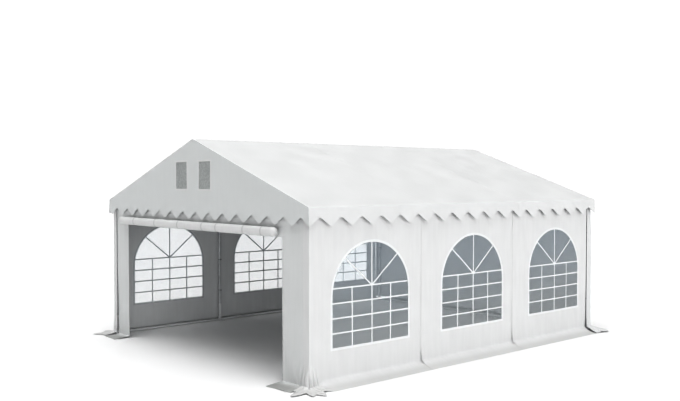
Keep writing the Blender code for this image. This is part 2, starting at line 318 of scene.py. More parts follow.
wall_white = coated_cloth("wall_white_coating", (0.748, 0.751, 0.752), 0.55, streak=0.016, dust_and_shade=0.65)
# Painted shade: the front wall gets a darker copy of the wall's white, and its lying flaps a strong
# darkening.
front_shaded_white = coated_cloth("front_white_coating", (0.728, 0.739, 0.739), 0.55, streak=0.012, dust_and_shade=1.0,
                           grime_and_shade=0.62)
rear_white = coated_cloth("rear_white_coating", (0.740, 0.746, 0.748), 0.55, streak=0.012, dust_and_shade=0.15)
roof_white = coated_cloth("roof_white_coating", (0.735, 0.74, 0.74), 0.5, streak=0.004)
# Painted shade: the gables get a darker copy of the wall's white.
gable_shaded_white = coated_cloth("gable_white_coating", (0.71, 0.725, 0.725), 0.5, streak=0.006)
inner_grey = coated_cloth("inner_grey_coating", (0.75, 0.76, 0.765), 0.6, streak=0.02)
band_white = coated_cloth("welded_band_white", (0.82, 0.83, 0.835), 0.42, streak=0.005)
print("made", len(bpy.data.materials), "materials so far")

# %% [markdown]
# ## How a wall hangs
# A wall is one sheet. It hangs straight from the eave, and its foot bends outwards and slopes down to the
# ground, where sand or pegs would hold it. In plan it runs along the frame, and at a corner it wraps round
# the post. So a point of the flat cloth finds its place in two steps: its distance along the wall gives a
# place in plan and an outward direction, and its height gives how far out it is and how high. A simulation
# could drop the cloth, but it would not stop exactly on the frame, so the fall is worked out and soft folds
# are added to it.

# %% The wall's line and section
WALL_X = 2.517
WALL_Y = 3.0323
WALL_TOP = 2.195
WALL_THICK = 0.0016
CORNER_ROUNDING = 0.007
SKIRT_RISE = 0.13  # the walls are straight above this height
SKIRT_OUT = 0.22  # how far out the foot ends
GROUND_GAP = 0.0005
Foot = namedtuple("Foot", "rise radius turn end")


def foot_shape(rise, turn_degrees, out=SKIRT_OUT):
    """A foot: the height where it starts, its round bend, and the flat height where its straight slope ends.

    It reaches the ground at the distance out if radius = (rise tan(turn) - out) / (1 / cos(turn) - 1)."""
    turn = math.radians(turn_degrees)
    radius = (rise * math.tan(turn) - out) / (1 / math.cos(turn) - 1)
    return Foot(rise, radius, turn, rise - radius * turn - (rise - radius * math.sin(turn)) / math.cos(turn))


SOFT_FOOT = foot_shape(0.105, 71.0)
FLAT_FOOT = foot_shape(0.04, 83.0)  # the front strips: nearly folded
LOW_FOOT = foot_shape(0.06, 80.0, 0.19)  # the left wall: straight down to the rail


def follow_wall(along, corners):
    """Place and outward direction in plan, at a distance along straight walls that meet at right angles.

    On a wall: place = start + heading * distance, and outward is the heading turned clockwise. Within the
    rounding of a corner: outward turns evenly from one wall's to the next one's, and place = centre +
    rounding * outward."""
    corners = np.array(corners, dtype=float)
    steps = np.diff(corners, axis=0)
    lengths = np.hypot(steps[:, 0], steps[:, 1])
    starts = np.concatenate([[0.0], np.cumsum(lengths)])
    headings = steps / lengths[:, None]
    outs = np.stack([headings[:, 1], -headings[:, 0]], axis=1)
    wall = np.clip(np.searchsorted(starts, along, side="right") - 1, 0, len(lengths) - 1)
    place = corners[wall] + headings[wall] * (along - starts[wall])[..., None]
    out = outs[wall].copy()
    for k in range(1, len(lengths)):
        near = np.abs(along - starts[k]) < CORNER_ROUNDING
        turn = (math.pi / 4 * (1 + (along[near] - starts[k]) / CORNER_ROUNDING))[:, None]
        direction = np.cos(turn) * outs[k - 1] + np.sin(turn) * outs[k]
        centre = corners[k] - CORNER_ROUNDING * (outs[k - 1] + outs[k])
        place[near] = centre + CORNER_ROUNDING * direction
        out[near] = direction
    return place, out


def wall_section(height, foot):
    """How far out the cloth is, how high, and the angle it has turned by, at a height on the flat cloth.

    Above the foot's rise it hangs straight. Below, with s = rise - height, it follows a circle of radius r:
    out = r - r cos(s / r) and z = rise - r sin(s / r). When the turn is done it goes straight on."""
    rise, radius, full = foot[:3]
    low = np.maximum(rise - height, 0.0)
    turn = np.minimum(low / radius, full)
    sloping = np.maximum(low - radius * full, 0.0)
    out = radius * (1 - np.cos(turn)) + sloping * math.sin(full)
    z = np.where(height > rise, height, rise - radius * np.sin(turn) - sloping * math.cos(full))
    return out, z, turn


def hang(flat, corners, lift, reach=0.0, foot=SOFT_FOOT, folded=0.0):
    """Puts flat cloth (distance along, height) on the wall: lift is out of the cloth's face, reach is further
    out along the foot, and folded is the share by which the foot is the nearly folded one instead."""
    place, outward = follow_wall(flat[:, 0], corners)
    soft, sharp = wall_section(flat[:, 1], foot), wall_section(flat[:, 1], FLAT_FOOT)
    out, z, turn = (a + (b - a) * folded for a, b in zip(soft, sharp))
    out = out + reach * ease(out / SKIRT_OUT) + lift * np.cos(turn)
    z = np.maximum(z + lift * np.sin(turn), WALL_THICK + GROUND_GAP)
    return np.column_stack([place + outward * out[:, None], z])


def foot_rows(foot):
    """Flat heights of the rows from the lower edge, over the bend, up to SKIRT_RISE."""
    rise, radius, turn, end = foot
    bend = rise - radius * turn
    straight = np.linspace(rise, SKIRT_RISE, 6)[1:]
    return np.concatenate([np.linspace(end, bend, 9)[:-1], np.linspace(bend, rise, 11), straight])


def strip(alongs, heights):
    """A plain grid of flat cloth, with rows going up."""
    return np.stack(np.meshgrid(alongs, heights), axis=-1)


print("the foot of the wall ends at flat height", round(SOFT_FOOT.end, 4))

# %% [markdown]
# ## Soft folds
# A hung sheet is never flat. It swells a little between the posts, and shallow folds run down it. The real
# folds come from how it was packed, so any mix of a few long waves looks right, as long as it dies out at
# the posts and under the eave, where the cloth is held. The folds deepen below knee height, and the lying
# edge waves on the ground, because nothing pulls it tight.

# %% Folds of a wall
FRAME_YS = (-3.0, -1.0, 1.0, 3.0)
HELD_WIDTH = 0.16  # a post holds the cloth this far to each side
random = np.random.default_rng(11)


def fold_waves(count, shortest, longest):
    """Random long waves for one sheet: rows of (wave number, slant, phase, share)."""
    length = random.uniform(shortest, longest, count)
    share = random.uniform(0.4, 1.0, count)
    return np.column_stack([
        2 * math.pi / length, random.uniform(-0.35, 0.35, count),
        random.uniform(0, 2 * math.pi, count), share / share.sum(),
    ])


def add_waves(waves, along, height):
    """Sum of share * sin(wave number * (along + slant * height) + phase)."""
    total = 0.0 * (along + height)
    for number, slant, phase, share in waves:
        total += share * np.sin(number * (along + slant * height) + phase)
    return total


def wall_folds(flat, held_at, waves, swell=0.007, fold=0.0035):
    """Lift of a wall's cloth: a swell and folds that die out at the posts and the top, and a waving foot."""
    along, height = flat[:, 0], flat[:, 1]
    free = np.ones_like(along)
    for post in held_at:
        free *= 1 - np.exp(-((along - post) / HELD_WIDTH) ** 2)
    free *= 1 - ease((height - 1.75) / 0.4)
    fold = fold * (1 + ease((0.5 - height) / 0.35))
    lift = free * (swell * add_waves(waves[:3], along, height) + fold * add_waves(waves[3:], along, height))
    lying = ease((SKIRT_RISE - height) / 0.2)
    edge = 0.5 + 0.5 * add_waves(waves[2:6] * (1.6, 0.3, 1, 1), along, height)
    return lift * (1 - lying) + 0.004 * lying * edge * ease((0.05 - height) / 0.2)


print("a random wave:", fold_waves(1, 0.2, 0.4).round(3).tolist())


def wall_waves():
    """Three long waves for a wall's swell and six short ones for its folds."""
    return np.concatenate([fold_waves(3, 0.9, 2.2), fold_waves(6, 0.15, 0.5)])


# %% [markdown]
# ## The window's shape
# Each side wall has an arched window: straight sides, and a half circle on top. The cloth around it is laid
# out as rays from the arch's centre, from the window's edge to the edge of the wall, so that its mesh
# follows the arch exactly. A regular grid with a hole cut in it would have a ragged edge.

# %% Window outline and the cloth around it
WINDOW_HALF = 0.667
WINDOW_SILL = 0.448
ARC_Z = 1.074
WINDOW_TOP = ARC_Z + WINDOW_HALF


def window_edge(angle, grow=0.0):
    """Distance from the arch's centre to the edge: the radius above, the nearer straight side below."""
    half = WINDOW_HALF + grow
    down = ARC_Z - WINDOW_SILL + grow
    across = half / np.maximum(np.abs(np.cos(angle)), 1e-6)
    below = down / np.maximum(-np.sin(angle), 1e-6)
    return np.where(np.sin(angle) >= 0, half, np.minimum(across, below))


def box_edge(angle, left, right, low, high):
    """Distance from the origin to the side of a box round it, along each direction."""
    x, z = np.cos(angle), np.sin(angle)
    sideways = np.where(x > 0, right, -left) / np.maximum(np.abs(x), 1e-9)
    upright = np.where(z > 0, high, -low) / np.maximum(np.abs(z), 1e-9)
    return np.minimum(sideways, upright)


def ray_angles(box, count=300):
    """Directions round a window, closed to a full turn. The window's and the box's corners are among them."""
    left, right, low, high = box
    corners = [math.atan2(z, x) for x in (left, right) for z in (low, high)]
    corners += [math.atan2(WINDOW_SILL - ARC_Z, side * WINDOW_HALF) for side in (-1, 1)]
    even = np.linspace(0, 2 * math.pi, count, endpoint=False)
    angles = np.unique(np.round(np.concatenate([even, np.mod(corners, 2 * math.pi)]), 9))
    return np.append(angles, angles[0] + 2 * math.pi)


def around_window(middle, left, right, low, high, rings=24):
    """Grid of flat cloth between a window and a rectangle.

    Point = centre + direction * (near + (far - near) * share)."""
    box = (left - middle, right - middle, low - ARC_Z, high - ARC_Z)
    angle = ray_angles(box)[:, None]
    share = np.linspace(0, 1, rings)[None, :] ** 1.15
    near, far = window_edge(angle), box_edge(angle, *box)
    distance = near + (far - near) * share
    grid = np.stack([middle + np.cos(angle) * distance, ARC_Z + np.sin(angle) * distance], axis=-1)
    grid[-1] = grid[0]
    return grid


rays, rings = around_window(1.0, 0.0, 2.0, SKIRT_RISE, WALL_TOP).shape[:2]
print("cloth round a window:", rays, "rays by", rings, "rings")

# %% [markdown]
# ## Side walls
# Each long side has three sheets. The first one wraps round the front corner with a hand's width of cloth.
# Where two sheets meet, the one further back lies over the one in front, and its edge is the thin dark line
# that shows between two windows. At the foot that edge stands off a little, which leaves a short dark slit.
# Round a front corner the foot can't lie flat: it gathers into pleats and ends in three splayed tips.

# %% The line of a side wall
SIDE_WORDS = {-1: "left", 1: "right"}
SIDE_FEET = {-1: LOW_FOOT, 1: SOFT_FOOT}
SIDE_RUNS = [(side, run) for side in (-1, 1) for run in range(3)]
SEAM_YS = (-1.09, 0.91)
RETURN_X = 2.410  # the corner flap's free edge on the front
RETURN_WIDE = WALL_X - RETURN_X
BACK_END_Y = 2.9143
side_waves = {sheet: wall_waves() for sheet in SIDE_RUNS}


def side_name(kind, side, run):
    """The name of a side piece, such as wall_cloth_right_1."""
    return f"{kind}_{SIDE_WORDS[side]}_{run + 1}"


def side_corners(side, run):
    """The line of one side sheet in plan, anticlockwise, with the tent's middle on its left hand."""
    x = side * WALL_X
    if run == 0:
        line = [(side * RETURN_X, -WALL_Y), (x, -WALL_Y), (x, FRAME_YS[1])]
    elif run == 1:
        line = [(x, SEAM_YS[0]), (x, FRAME_YS[2])]
    else:
        line = [(x, SEAM_YS[1]), (x, BACK_END_Y)]
    return line if side > 0 else line[::-1]


def line_length(corners):
    """Length of a line in plan."""
    return float(np.hypot(*np.diff(np.array(corners), axis=0).T).sum())


def along_at(side, run, y):
    """Distance along a side sheet at a place Y on the long side."""
    front = RETURN_WIDE - (-WALL_Y) if run == 0 else -SEAM_YS[run - 1]
    return front + y if side > 0 else line_length(side_corners(side, run)) - front - y


def window_middle(side, run):
    """Distance along a side sheet at the middle of its window, halfway between two frames."""
    return along_at(side, run, FRAME_YS[run] + 1.0)


print("side sheets:", metres(line_length(side_corners(1, run)) for run in range(3)), "m long")

# %% Pleats, slits and tips
SIDE_PLEATS = {-1: 0.018, 1: 0.034}
PLEAT_WIDE = 0.043
SPLAYED = {-1: ((24.0, 0.13, 20.0), (56.0, 0.0, 12.0), (86.0, 0.06, 20.0)),
           1: ((14.0, 0.175, 16.0), (60.0, 0.105, 12.0), (88.0, 0.14, 16.0))}


def corner_pleats(from_corner, height, width=0.10, deep=0.034, start=0.34):
    """Lift of pleats beside a corner: ridges 4 cm apart with sharp valleys, which grow and fan out downwards.

    One ridge is |sin(pi * distance / spacing)|^0.55."""
    grown = ease((start - height) / 0.26)
    fan = 1 + 0.5 * grown
    across = np.exp(-(from_corner / (width * fan)) ** 4)
    wander = 0.35 * np.sin(11 * height)
    ridge = np.abs(np.sin(math.pi * from_corner / (PLEAT_WIDE * fan) + wander)) ** 0.55
    lying = ease((0.02 - height) / 0.1)
    return deep * across * grown * ridge * (1 - 0.6 * lying)


def corner_slit(from_corner, height):
    """Lift of the narrow fold on the corner's edge: 1.3 cm inwards, between two lips 1.4 cm outwards."""
    low = ease((0.19 - height) / 0.08) * ease((height + 0.03) / 0.05)
    lips = np.exp(-((np.abs(from_corner) - 0.013) / 0.005) ** 2)
    return low * (0.014 * lips - 0.013 * np.exp(-(from_corner / 0.006) ** 2))


def seam_slit(behind, height):
    """Lift of the upper sheet's edge where a seam meets the foot: 1.2 cm at the edge, gone 6 cm behind it."""
    low = ease((0.25 - height) / 0.09) * ease(height / 0.05)
    return 0.012 * low * np.exp(-(behind / 0.035) ** 2)


def tip_reach(turned, tips):
    """Reach of splayed tips: each tip is (degrees round the corner, how far it reaches, half its width)."""
    reach = np.full_like(turned, -0.05)
    for middle, far, half in tips:
        reach = np.maximum(reach, far * (1 - np.abs(turned - middle) / half))
    return reach


near_corner = np.linspace(0.0, 0.1, 99)
print("deepest pleat near the ground:", round(float(corner_pleats(near_corner, 0.05).max()), 3), "m")

# %% Folds of a side wall
OVER_LAP, UNDER_LAP = 0.0022, 0.0025  # how far the two sheets of a seam move apart


def side_lift(flat, side, run):
    """Folds of a side sheet, its pleats at the front corner, the laps at its seams, and at the back end a bow
    inwards, which grows towards the ground."""
    along, height = flat[:, 0], flat[:, 1]
    lift = wall_folds(flat, [along_at(side, run, y) for y in FRAME_YS], side_waves[side, run])
    if run == 0:
        from_corner = along - along_at(side, run, -WALL_Y)
        lift = lift + corner_pleats(from_corner, height, deep=SIDE_PLEATS[side])
        if side > 0:
            lift = lift + corner_slit(from_corner, height)
    if run < 2:
        past = (along - along_at(side, run, SEAM_YS[run])) * side
        lift = lift - UNDER_LAP * ease(past / 0.02 + 1)
    if run > 0:
        behind = (along - along_at(side, run, SEAM_YS[run - 1])) * side
        lift = lift + OVER_LAP * (1 - ease(behind / 0.05 - 1.8)) + seam_slit(behind, height)
    if run == 2:
        from_edge = along - along_at(side, run, BACK_END_Y)
        bow = 0.002 + 0.008 * (1 - ease(height / 1.2)) + 0.014 * (1 - ease(height / 0.25))
        lift = lift - bow * np.exp(-(from_edge / 0.05) ** 2)
    return lift


print("the faces of two sheets at a seam:", round(1000 * (OVER_LAP + UNDER_LAP), 1), "mm apart")

# %% Side sheets
CORNER_ZONE = 0.24  # width of the finely divided cloth beside a corner
CORNER_COLUMNS = {-1: (27, 60, 27), 1: (27, 95, 40)}  # in the rounding, beside it and in the flap


def front_columns(side):
    """Columns of a front sheet from the flap's edge to the end of the finely divided cloth, and that end."""
    corner = along_at(side, 0, -WALL_Y)
    edge = 0.0 if side > 0 else line_length(side_corners(side, 0))
    far = corner + side * CORNER_ZONE
    in_turn, beside, in_flap = CORNER_COLUMNS[side]
    parts = [np.linspace(corner - CORNER_ROUNDING, corner + CORNER_ROUNDING, in_turn),
             np.linspace(corner + side * CORNER_ROUNDING, far, beside),
             np.linspace(edge, corner - side * CORNER_ROUNDING, in_flap)]
    return np.unique(np.round(np.concatenate(parts), 6)), far


def side_zones(side, run):
    """Grids of a side sheet: round its window, along its foot, and beside the front corner."""
    left, right = 0.0, line_length(side_corners(side, run))
    if run == 0:
        ends, far = front_columns(side)
        left, right = (far, right) if side > 0 else (left, far)
    window = around_window(window_middle(side, run), left, right, SKIRT_RISE, WALL_TOP)
    points = window.reshape(-1, 2)
    bottom = np.unique(points[np.abs(points[:, 1] - SKIRT_RISE) < 1e-7, 0])
    rows = foot_rows(SIDE_FEET[side])
    zones = [window, strip(bottom, rows)]
    if run == 0:
        heights = np.unique(points[np.abs(points[:, 0] - far) < 1e-7, 1])
        zones += [strip(ends, heights), strip(ends, rows)]
    return zones


def side_wall(side, run):
    """One sheet of a long side, with the hole of its window."""
    flat, quads = join_zones(side_zones(side, run))
    reach = 0.004 * add_waves(side_waves[side, run][4:], flat[:, 0], flat[:, 1] * 0)
    folded = 0.0
    if run == 0:
        from_corner = (flat[:, 0] - along_at(side, run, -WALL_Y)) * side
        turned = from_corner / CORNER_ROUNDING * 45.0 + 45.0
        around = np.clip(turned, 0.0, 90.0) + from_corner * 250.0
        folded = np.exp(-(from_corner / 0.21) ** 6)
        reach = reach + (0.04 + tip_reach(around, SPLAYED[side])) * np.exp(-(from_corner / 0.10) ** 4)
    points = hang(flat, side_corners(side, run), side_lift(flat, side, run), reach, SIDE_FEET[side], folded)
    return cloth_piece(side_name("wall_cloth", side, run), points, quads, wall_white, flat, WALL_THICK,
                       side_name("wall_panel", side, run))


side_cloths = {sheet: side_wall(*sheet) for sheet in SIDE_RUNS}
for cloth in side_cloths.values():
    print(cloth.name, len(cloth.data.polygons), "quads")

# %% [markdown]
# ## Window film
# Behind the hole lies a sheet of clear soft plastic, welded on along its edge. It is a little grey and
# shiny: from outside it mirrors the sky, and from inside the daylight makes it look almost white. A real
# glass shader would bend light and render slowly. A thin film doesn't bend it, so part of the film is
# simply see-through.

# %% Window film
FILM_LAP = 0.02
FILM_BEHIND = 0.0034  # behind the wall's outer face
FILM_THICK = 0.0005


def window_film_finish():
    """Clear soft plastic: thin grey-blue, shiny, with slow ripples, and painted light: a tint that is lighter
    towards the sill and bluer grey towards the arch.
    """
    finish, tree, shader = start_finish("clear_window_film")
    flat = cloth_place(tree)
    ripples = speckle(tree, stretched(tree, flat, (3.0, 1.6, 1.0)), 1.0, 2.0)
    haze = speckle(tree, flat, 3.0, 3.0)
    # Painted light: the film's tint changes with its height, lighter towards the sill and bluer grey towards
    # the arch, with a random haze.
    height = sum_up(tree, "MULTIPLY_ADD", haze, 0.3, one_axis(tree, flat, 1))
    shade = tint(tree, spread(tree, height, 0.55, 1.7, 1.0, 0.0), (0.805, 0.91, 1.0), (0.905, 0.965, 1.0))
    set_surface(tree, shader, shade, spread(tree, haze, 0.3, 0.7, 0.08, 0.16), ripples, 0.25, 0.02)
    shader.inputs["Alpha"].default_value = 0.15
    shader.inputs["IOR"].default_value = 1.5
    return finish


def arched_grid(middle, grow, columns=45, rows=34):
    """Grid that fills the window: columns in cosine steps, rows from the sill to the arch's height there."""
    half = WINDOW_HALF + grow
    across = -half * np.cos(np.linspace(0, math.pi, columns))
    top = ARC_Z + np.sqrt(np.maximum(half * half - across * across, 0.0))
    share = np.linspace(0, 1, rows)[:, None]
    sill = WINDOW_SILL - grow
    height = sill + (top[None, :] - sill) * share
    return np.stack([np.broadcast_to(middle + across, height.shape), height], axis=-1)


def on_side_wall(flat, side, run, raise_by):
    """Puts a flat piece on a side sheet, raised above its cloth, so that it swells with it."""
    return hang(flat, side_corners(side, run), side_lift(flat, side, run) + raise_by)


def window_film(side, run):
    """The film of one window, just behind the wall's cloth."""
    flat, quads = join_zones([arched_grid(window_middle(side, run), FILM_LAP)])
    points = on_side_wall(flat, side, run, -FILM_BEHIND)
    film = make_piece(side_name("window_film", side, run), points, quads, [clear_film], flat)
    give_thickness(film, FILM_THICK)
    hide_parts(side_name("window", side, run))
    return film


clear_film = window_film_finish()
film_size = (2 * (WINDOW_HALF + FILM_LAP), WINDOW_TOP - WINDOW_SILL + 2 * FILM_LAP)
print("a window's film is cut", metres(film_size))

# %% [markdown]
# ## Window bars and border
# Two narrow families of white strips finish the window: a border that covers the weld round the film, and
# bars that make it look like a sash window, with a fan of three spokes above the arch's spring line. They
# are welded on, so they stand out by little more than their own thickness. Each is a profile carried along
# a line on the wall.

# %% Welded strips
def raised_profile(wide, raise_by, steps=5):
    """Cross-section of a welded strip as (across, lift): flat on top, with rounded edges."""
    angle = np.linspace(0, math.pi / 2, steps)
    left = np.column_stack([-wide / 2 + raise_by * (1 - np.cos(angle)), raise_by * np.sin(angle)])
    return np.concatenate([left, (left * (-1, 1))[::-1]])


def flat_strip(start, end, wide, raise_by, base, step=0.03, run=None):
    """Grid of a straight strip in flat coordinates with its lift: point = start + along + across * profile.

    The rows are a step apart, or at the given distances from the start."""
    start, end = np.array(start), np.array(end)
    length = np.hypot(*(end - start))
    heading = (end - start) / length
    across = np.array([heading[1], -heading[0]])
    if run is None:
        run = np.linspace(0, length, max(int(length / step), 2) + 1)
    profile = raised_profile(wide, raise_by)
    flat = start + heading * run[:, None, None] + across * profile[None, :, :1]
    lift = np.broadcast_to(base + profile[:, 1], (len(run), len(profile)))
    return flat, lift


def stack_strips(strips):
    """Many strip grids as one list of flat points, one of lifts and one of quads."""
    parts = [(np.column_stack([flat.reshape(-1, 2), lift.ravel()]), grid_quads(*lift.shape))
             for flat, lift in strips]
    both, quads = stack_parts(parts)
    return both[:, :2], both[:, 2], quads


print("a strip's profile has", len(raised_profile(0.02, 0.001)), "points")

# %% Bars and border
BAR_WIDE = 0.020
BAR_RAISE = 0.0012
BAR_THICK = 0.0008
BAR_BASE = 0.0006 - FILM_BEHIND  # just outside the film
BAR_LAYER = 0.0003  # uprights lie this much under the level bars, and spokes this much over them
SPRING_Z = 1.186
SPOKE_REACH = 0.458
BORDER_IN, BORDER_OUT = 0.010, 0.022
BORDER_RAISE, BORDER_BASE = 0.0014, 0.0002
BORDER_THICK = 0.0010


def bar_lines():
    """The bars of a window as (start, end, extra lift), measured from the window's middle."""
    rise = (SPRING_Z - WINDOW_SILL) / 4
    levels = [WINDOW_SILL + rise * level for level in range(1, 5)]
    lines = [((-WINDOW_HALF, level), (WINDOW_HALF, level), 0.0) for level in levels]
    for across, top in ((-WINDOW_HALF / 2, SPRING_Z), (WINDOW_HALF / 2, SPRING_Z), (0.0, WINDOW_TOP)):
        lines.append(((across, WINDOW_SILL), (across, top), -BAR_LAYER))
    spoke_z = ARC_Z + math.sqrt(WINDOW_HALF ** 2 - SPOKE_REACH ** 2)
    for across in (-SPOKE_REACH, SPOKE_REACH):
        lines.append(((0.0, SPRING_Z), (across, spoke_z), BAR_LAYER))
    return lines


def window_bars(side, run):
    """All bars of one window, as one piece on the outer side of the film."""
    middle = window_middle(side, run)
    strips = []
    for start, end, extra in bar_lines():
        shifted = [(middle + x, z) for x, z in (start, end)]
        strips.append(flat_strip(*shifted, BAR_WIDE, BAR_RAISE, extra + BAR_BASE))
    flat, lift, quads = stack_strips(strips)
    return cloth_piece(side_name("window_bars", side, run), on_side_wall(flat, side, run, lift), quads,
                       band_white, flat, BAR_THICK)


def window_border(side, run):
    """The welded border: the window's edge, grown from BORDER_IN inside to BORDER_OUT outside."""
    box = (-WINDOW_HALF, WINDOW_HALF, WINDOW_SILL - ARC_Z, WINDOW_HALF)
    angle = ray_angles(box, 220)[:, None]
    profile = raised_profile(BORDER_IN + BORDER_OUT, BORDER_RAISE)
    grow = profile[:, 0] + (BORDER_OUT - BORDER_IN) / 2
    distance = window_edge(angle, grow[None, :])
    across = window_middle(side, run) + np.cos(angle) * distance
    flat = np.stack([across, ARC_Z + np.sin(angle) * distance], axis=-1)[:-1].reshape(-1, 2)
    quads = grid_quads(*distance.shape)
    quads = np.where(quads >= len(flat), quads - len(flat), quads)
    lift = np.broadcast_to(profile[:, 1] + BORDER_BASE, distance.shape)[:-1].ravel()
    return cloth_piece(side_name("window_border", side, run), on_side_wall(flat, side, run, lift), quads,
                       band_white, flat, BORDER_THICK)


for side, run in SIDE_RUNS:
    film, bars, border = window_film(side, run), window_bars(side, run), window_border(side, run)
    cloth = side_cloths[side, run]

# %% [markdown]
# ## Front wall
# The front wall is one sheet with a wide doorway: a strip at each side and a low band on top. Long zips run
# down both sides of the doorway, and a band is welded along them. The strips hang as the side walls do, but
# their foot is nearly folded. On the right the strip slips under the side wall's flap, while on the left a
# narrow slot stays open.

# %% Line and folds of the front wall
DOORWAY_HALF = 2.0
DOORWAY_HIGH = 1.81
GABLE_WALL_TOP = 2.14
STRIP_END = 2.395
TUCK = 0.045  # how far the right strip runs under the corner flap
FRONT_LINE = [(-STRIP_END, -WALL_Y), (STRIP_END + TUCK, -WALL_Y)]
front_waves = wall_waves()


def front_lift(flat):
    """Folds of the front wall, its pleats, the tuck under the right flap, and the slot that widens downwards
    on the left. Behind the gable's wavy edge the cloth bags out by 1 to 3 cm."""
    x, height = flat[:, 0] - STRIP_END, flat[:, 1]
    lift = wall_folds(flat, (STRIP_END - WALL_X, STRIP_END + WALL_X), front_waves, 0.005, 0.004)
    clear_of_flap = 1 - ease((x - 2.345) / 0.05)
    for corner, deep in ((-WALL_X, 0.012), (WALL_X, 0.024)):
        lift = lift + corner_pleats(x - corner, height, 0.20, deep, 0.45) * clear_of_flap
    bag = ease((height - 1.95) / 0.06) * (1 - ease((height - 2.07) / 0.07)) * ease((2.35 - np.abs(x)) / 0.2)
    lift = lift + 0.022 * bag * (1 + 0.45 * add_waves(front_waves[3:] * (0.6, 0, 1, 1), x, 0.0 * x))
    slot = (0.005 + 0.019 * (1 - ease(height / 1.4))) * ease((2.05 - height) / 0.2)
    return lift - 0.0028 * ease((x - 2.385) / 0.02) - slot * (1 - ease((x + 2.40) / 0.11))


def front_reach(flat):
    """The foot's outline: 3 cm longer beside the doorway and 1 cm at the corners, with a slight wave."""
    x = np.abs(flat[:, 0] - STRIP_END)
    return 0.034 - 0.024 * ease((x - DOORWAY_HALF) / 0.4) + 0.004 * np.sin(17 * x)


FRONT = (FRONT_LINE, front_lift, front_reach, FLAT_FOOT)


def on_end_wall(wall, flat, raise_by=0.0):
    """Puts flat cloth on an end wall, which is given as its line, its lift, its foot's reach and its foot."""
    line, lift_of, reach_of, foot = wall
    return hang(flat, line, lift_of(flat) + raise_by, reach_of(flat), foot)


print("the front wall is", round(line_length(FRONT_LINE), 3), "m long")

# %% Front wall
STRIP_STEP = 0.016


def columns(low, high, step=0.024):
    """Even columns between two places."""
    return np.linspace(low, high, int(round((high - low) / step)) + 1)


def strip_rows(foot, top=DOORWAY_HIGH, count=66):
    """Flat heights of the rows of a strip, from its lower edge to the doorway's top."""
    return np.concatenate([foot_rows(foot)[:-1], np.linspace(SKIRT_RISE, top, count)])


def front_wall():
    """Two strips down to the ground and the band over the doorway, as one sheet."""
    rows = strip_rows(FLAT_FOOT)
    left = columns(-STRIP_END, -DOORWAY_HALF, STRIP_STEP) + STRIP_END
    right = columns(DOORWAY_HALF, STRIP_END + TUCK, STRIP_STEP) + STRIP_END
    over = np.concatenate([left[:-1], columns(-DOORWAY_HALF, DOORWAY_HALF) + STRIP_END, right[1:]])
    band_rows = np.linspace(DOORWAY_HIGH, GABLE_WALL_TOP, 14)
    flat, quads = join_zones([strip(left, rows), strip(right, rows), strip(over, band_rows)])
    return cloth_piece("front_wall_cloth", on_end_wall(FRONT, flat), quads, front_shaded_white, flat, WALL_THICK,
                       "front_wall")


front_cloth = front_wall()
print(front_cloth.name, len(front_cloth.data.polygons), "quads")

# %% Zips
ZIP_BAND = 0.05
ZIP_PITCH = 0.0036
ZIP_TOOTH = (0.0052, 0.0021, 0.0020)  # across the zip, along it, and out of the cloth
ZIP_RAISE, ZIP_BASE = 0.0011, 0.0004
TOOTH_BASE = 0.0012
STRIP_THICK = 0.0009


def moulded_plastic(name, colour, roughness):
    """Moulded plastic: an even colour with fine grain and a few rubbed places."""
    finish, tree, shader = start_finish(name)
    place = object_place(tree)
    grain = speckle(tree, place, 900.0, 2.0)
    rubbed = speckle(tree, place, 35.0, 3.0)
    dull = tuple(c * 0.82 for c in colour)
    shade = tint(tree, spread(tree, rubbed, 0.35, 0.7, 0.0, 1.0), dull, colour)
    rough = spread(tree, rubbed, 0.3, 0.7, roughness + 0.1, roughness)
    set_surface(tree, shader, shade, rough, grain, 0.2, 0.0004)
    return finish


def zip_bands(name, wall, alongs, finish):
    """Welded bands, each a strip in flat coordinates from the foot up to the doorway's top."""
    heights = strip_rows(wall[3])
    ends = [((at, heights[0]), (at, DOORWAY_HIGH)) for at in alongs]
    strips = [flat_strip(*end, ZIP_BAND, ZIP_RAISE, ZIP_BASE, run=heights - heights[0]) for end in ends]
    flat, lift, quads = stack_strips(strips)
    return cloth_piece(name, on_end_wall(wall, flat, lift), quads, finish, flat, STRIP_THICK)


def zip_teeth(name, wall, alongs):
    """A row of small blocks along each zip: each is the same eight corners, set down at its own height."""
    low = wall[3].end
    count = int((DOORWAY_HIGH - low) / ZIP_PITCH)
    heights = low + ZIP_PITCH * (np.arange(count) + 0.5)
    block = np.array([(x, z, y) for y in (-0.5, 0.5) for z in (-0.5, 0.5) for x in (-0.5, 0.5)]) * ZIP_TOOTH
    sides = np.array([(1, 0, 2, 3), (4, 5, 7, 6), (0, 1, 5, 4), (3, 2, 6, 7), (2, 0, 4, 6), (1, 3, 7, 5)])
    places = np.array([(at, z, TOOTH_BASE) for at in alongs for z in heights])
    corners = (places[:, None, :] + block[None, :, :]).reshape(-1, 3)
    flat = corners[:, :2]
    teeth = make_piece(name, on_end_wall(wall, flat, corners[:, 2]), repeat_quads(sides, 8, len(places)),
                       [zip_plastic], flat, smooth=False)
    return teeth


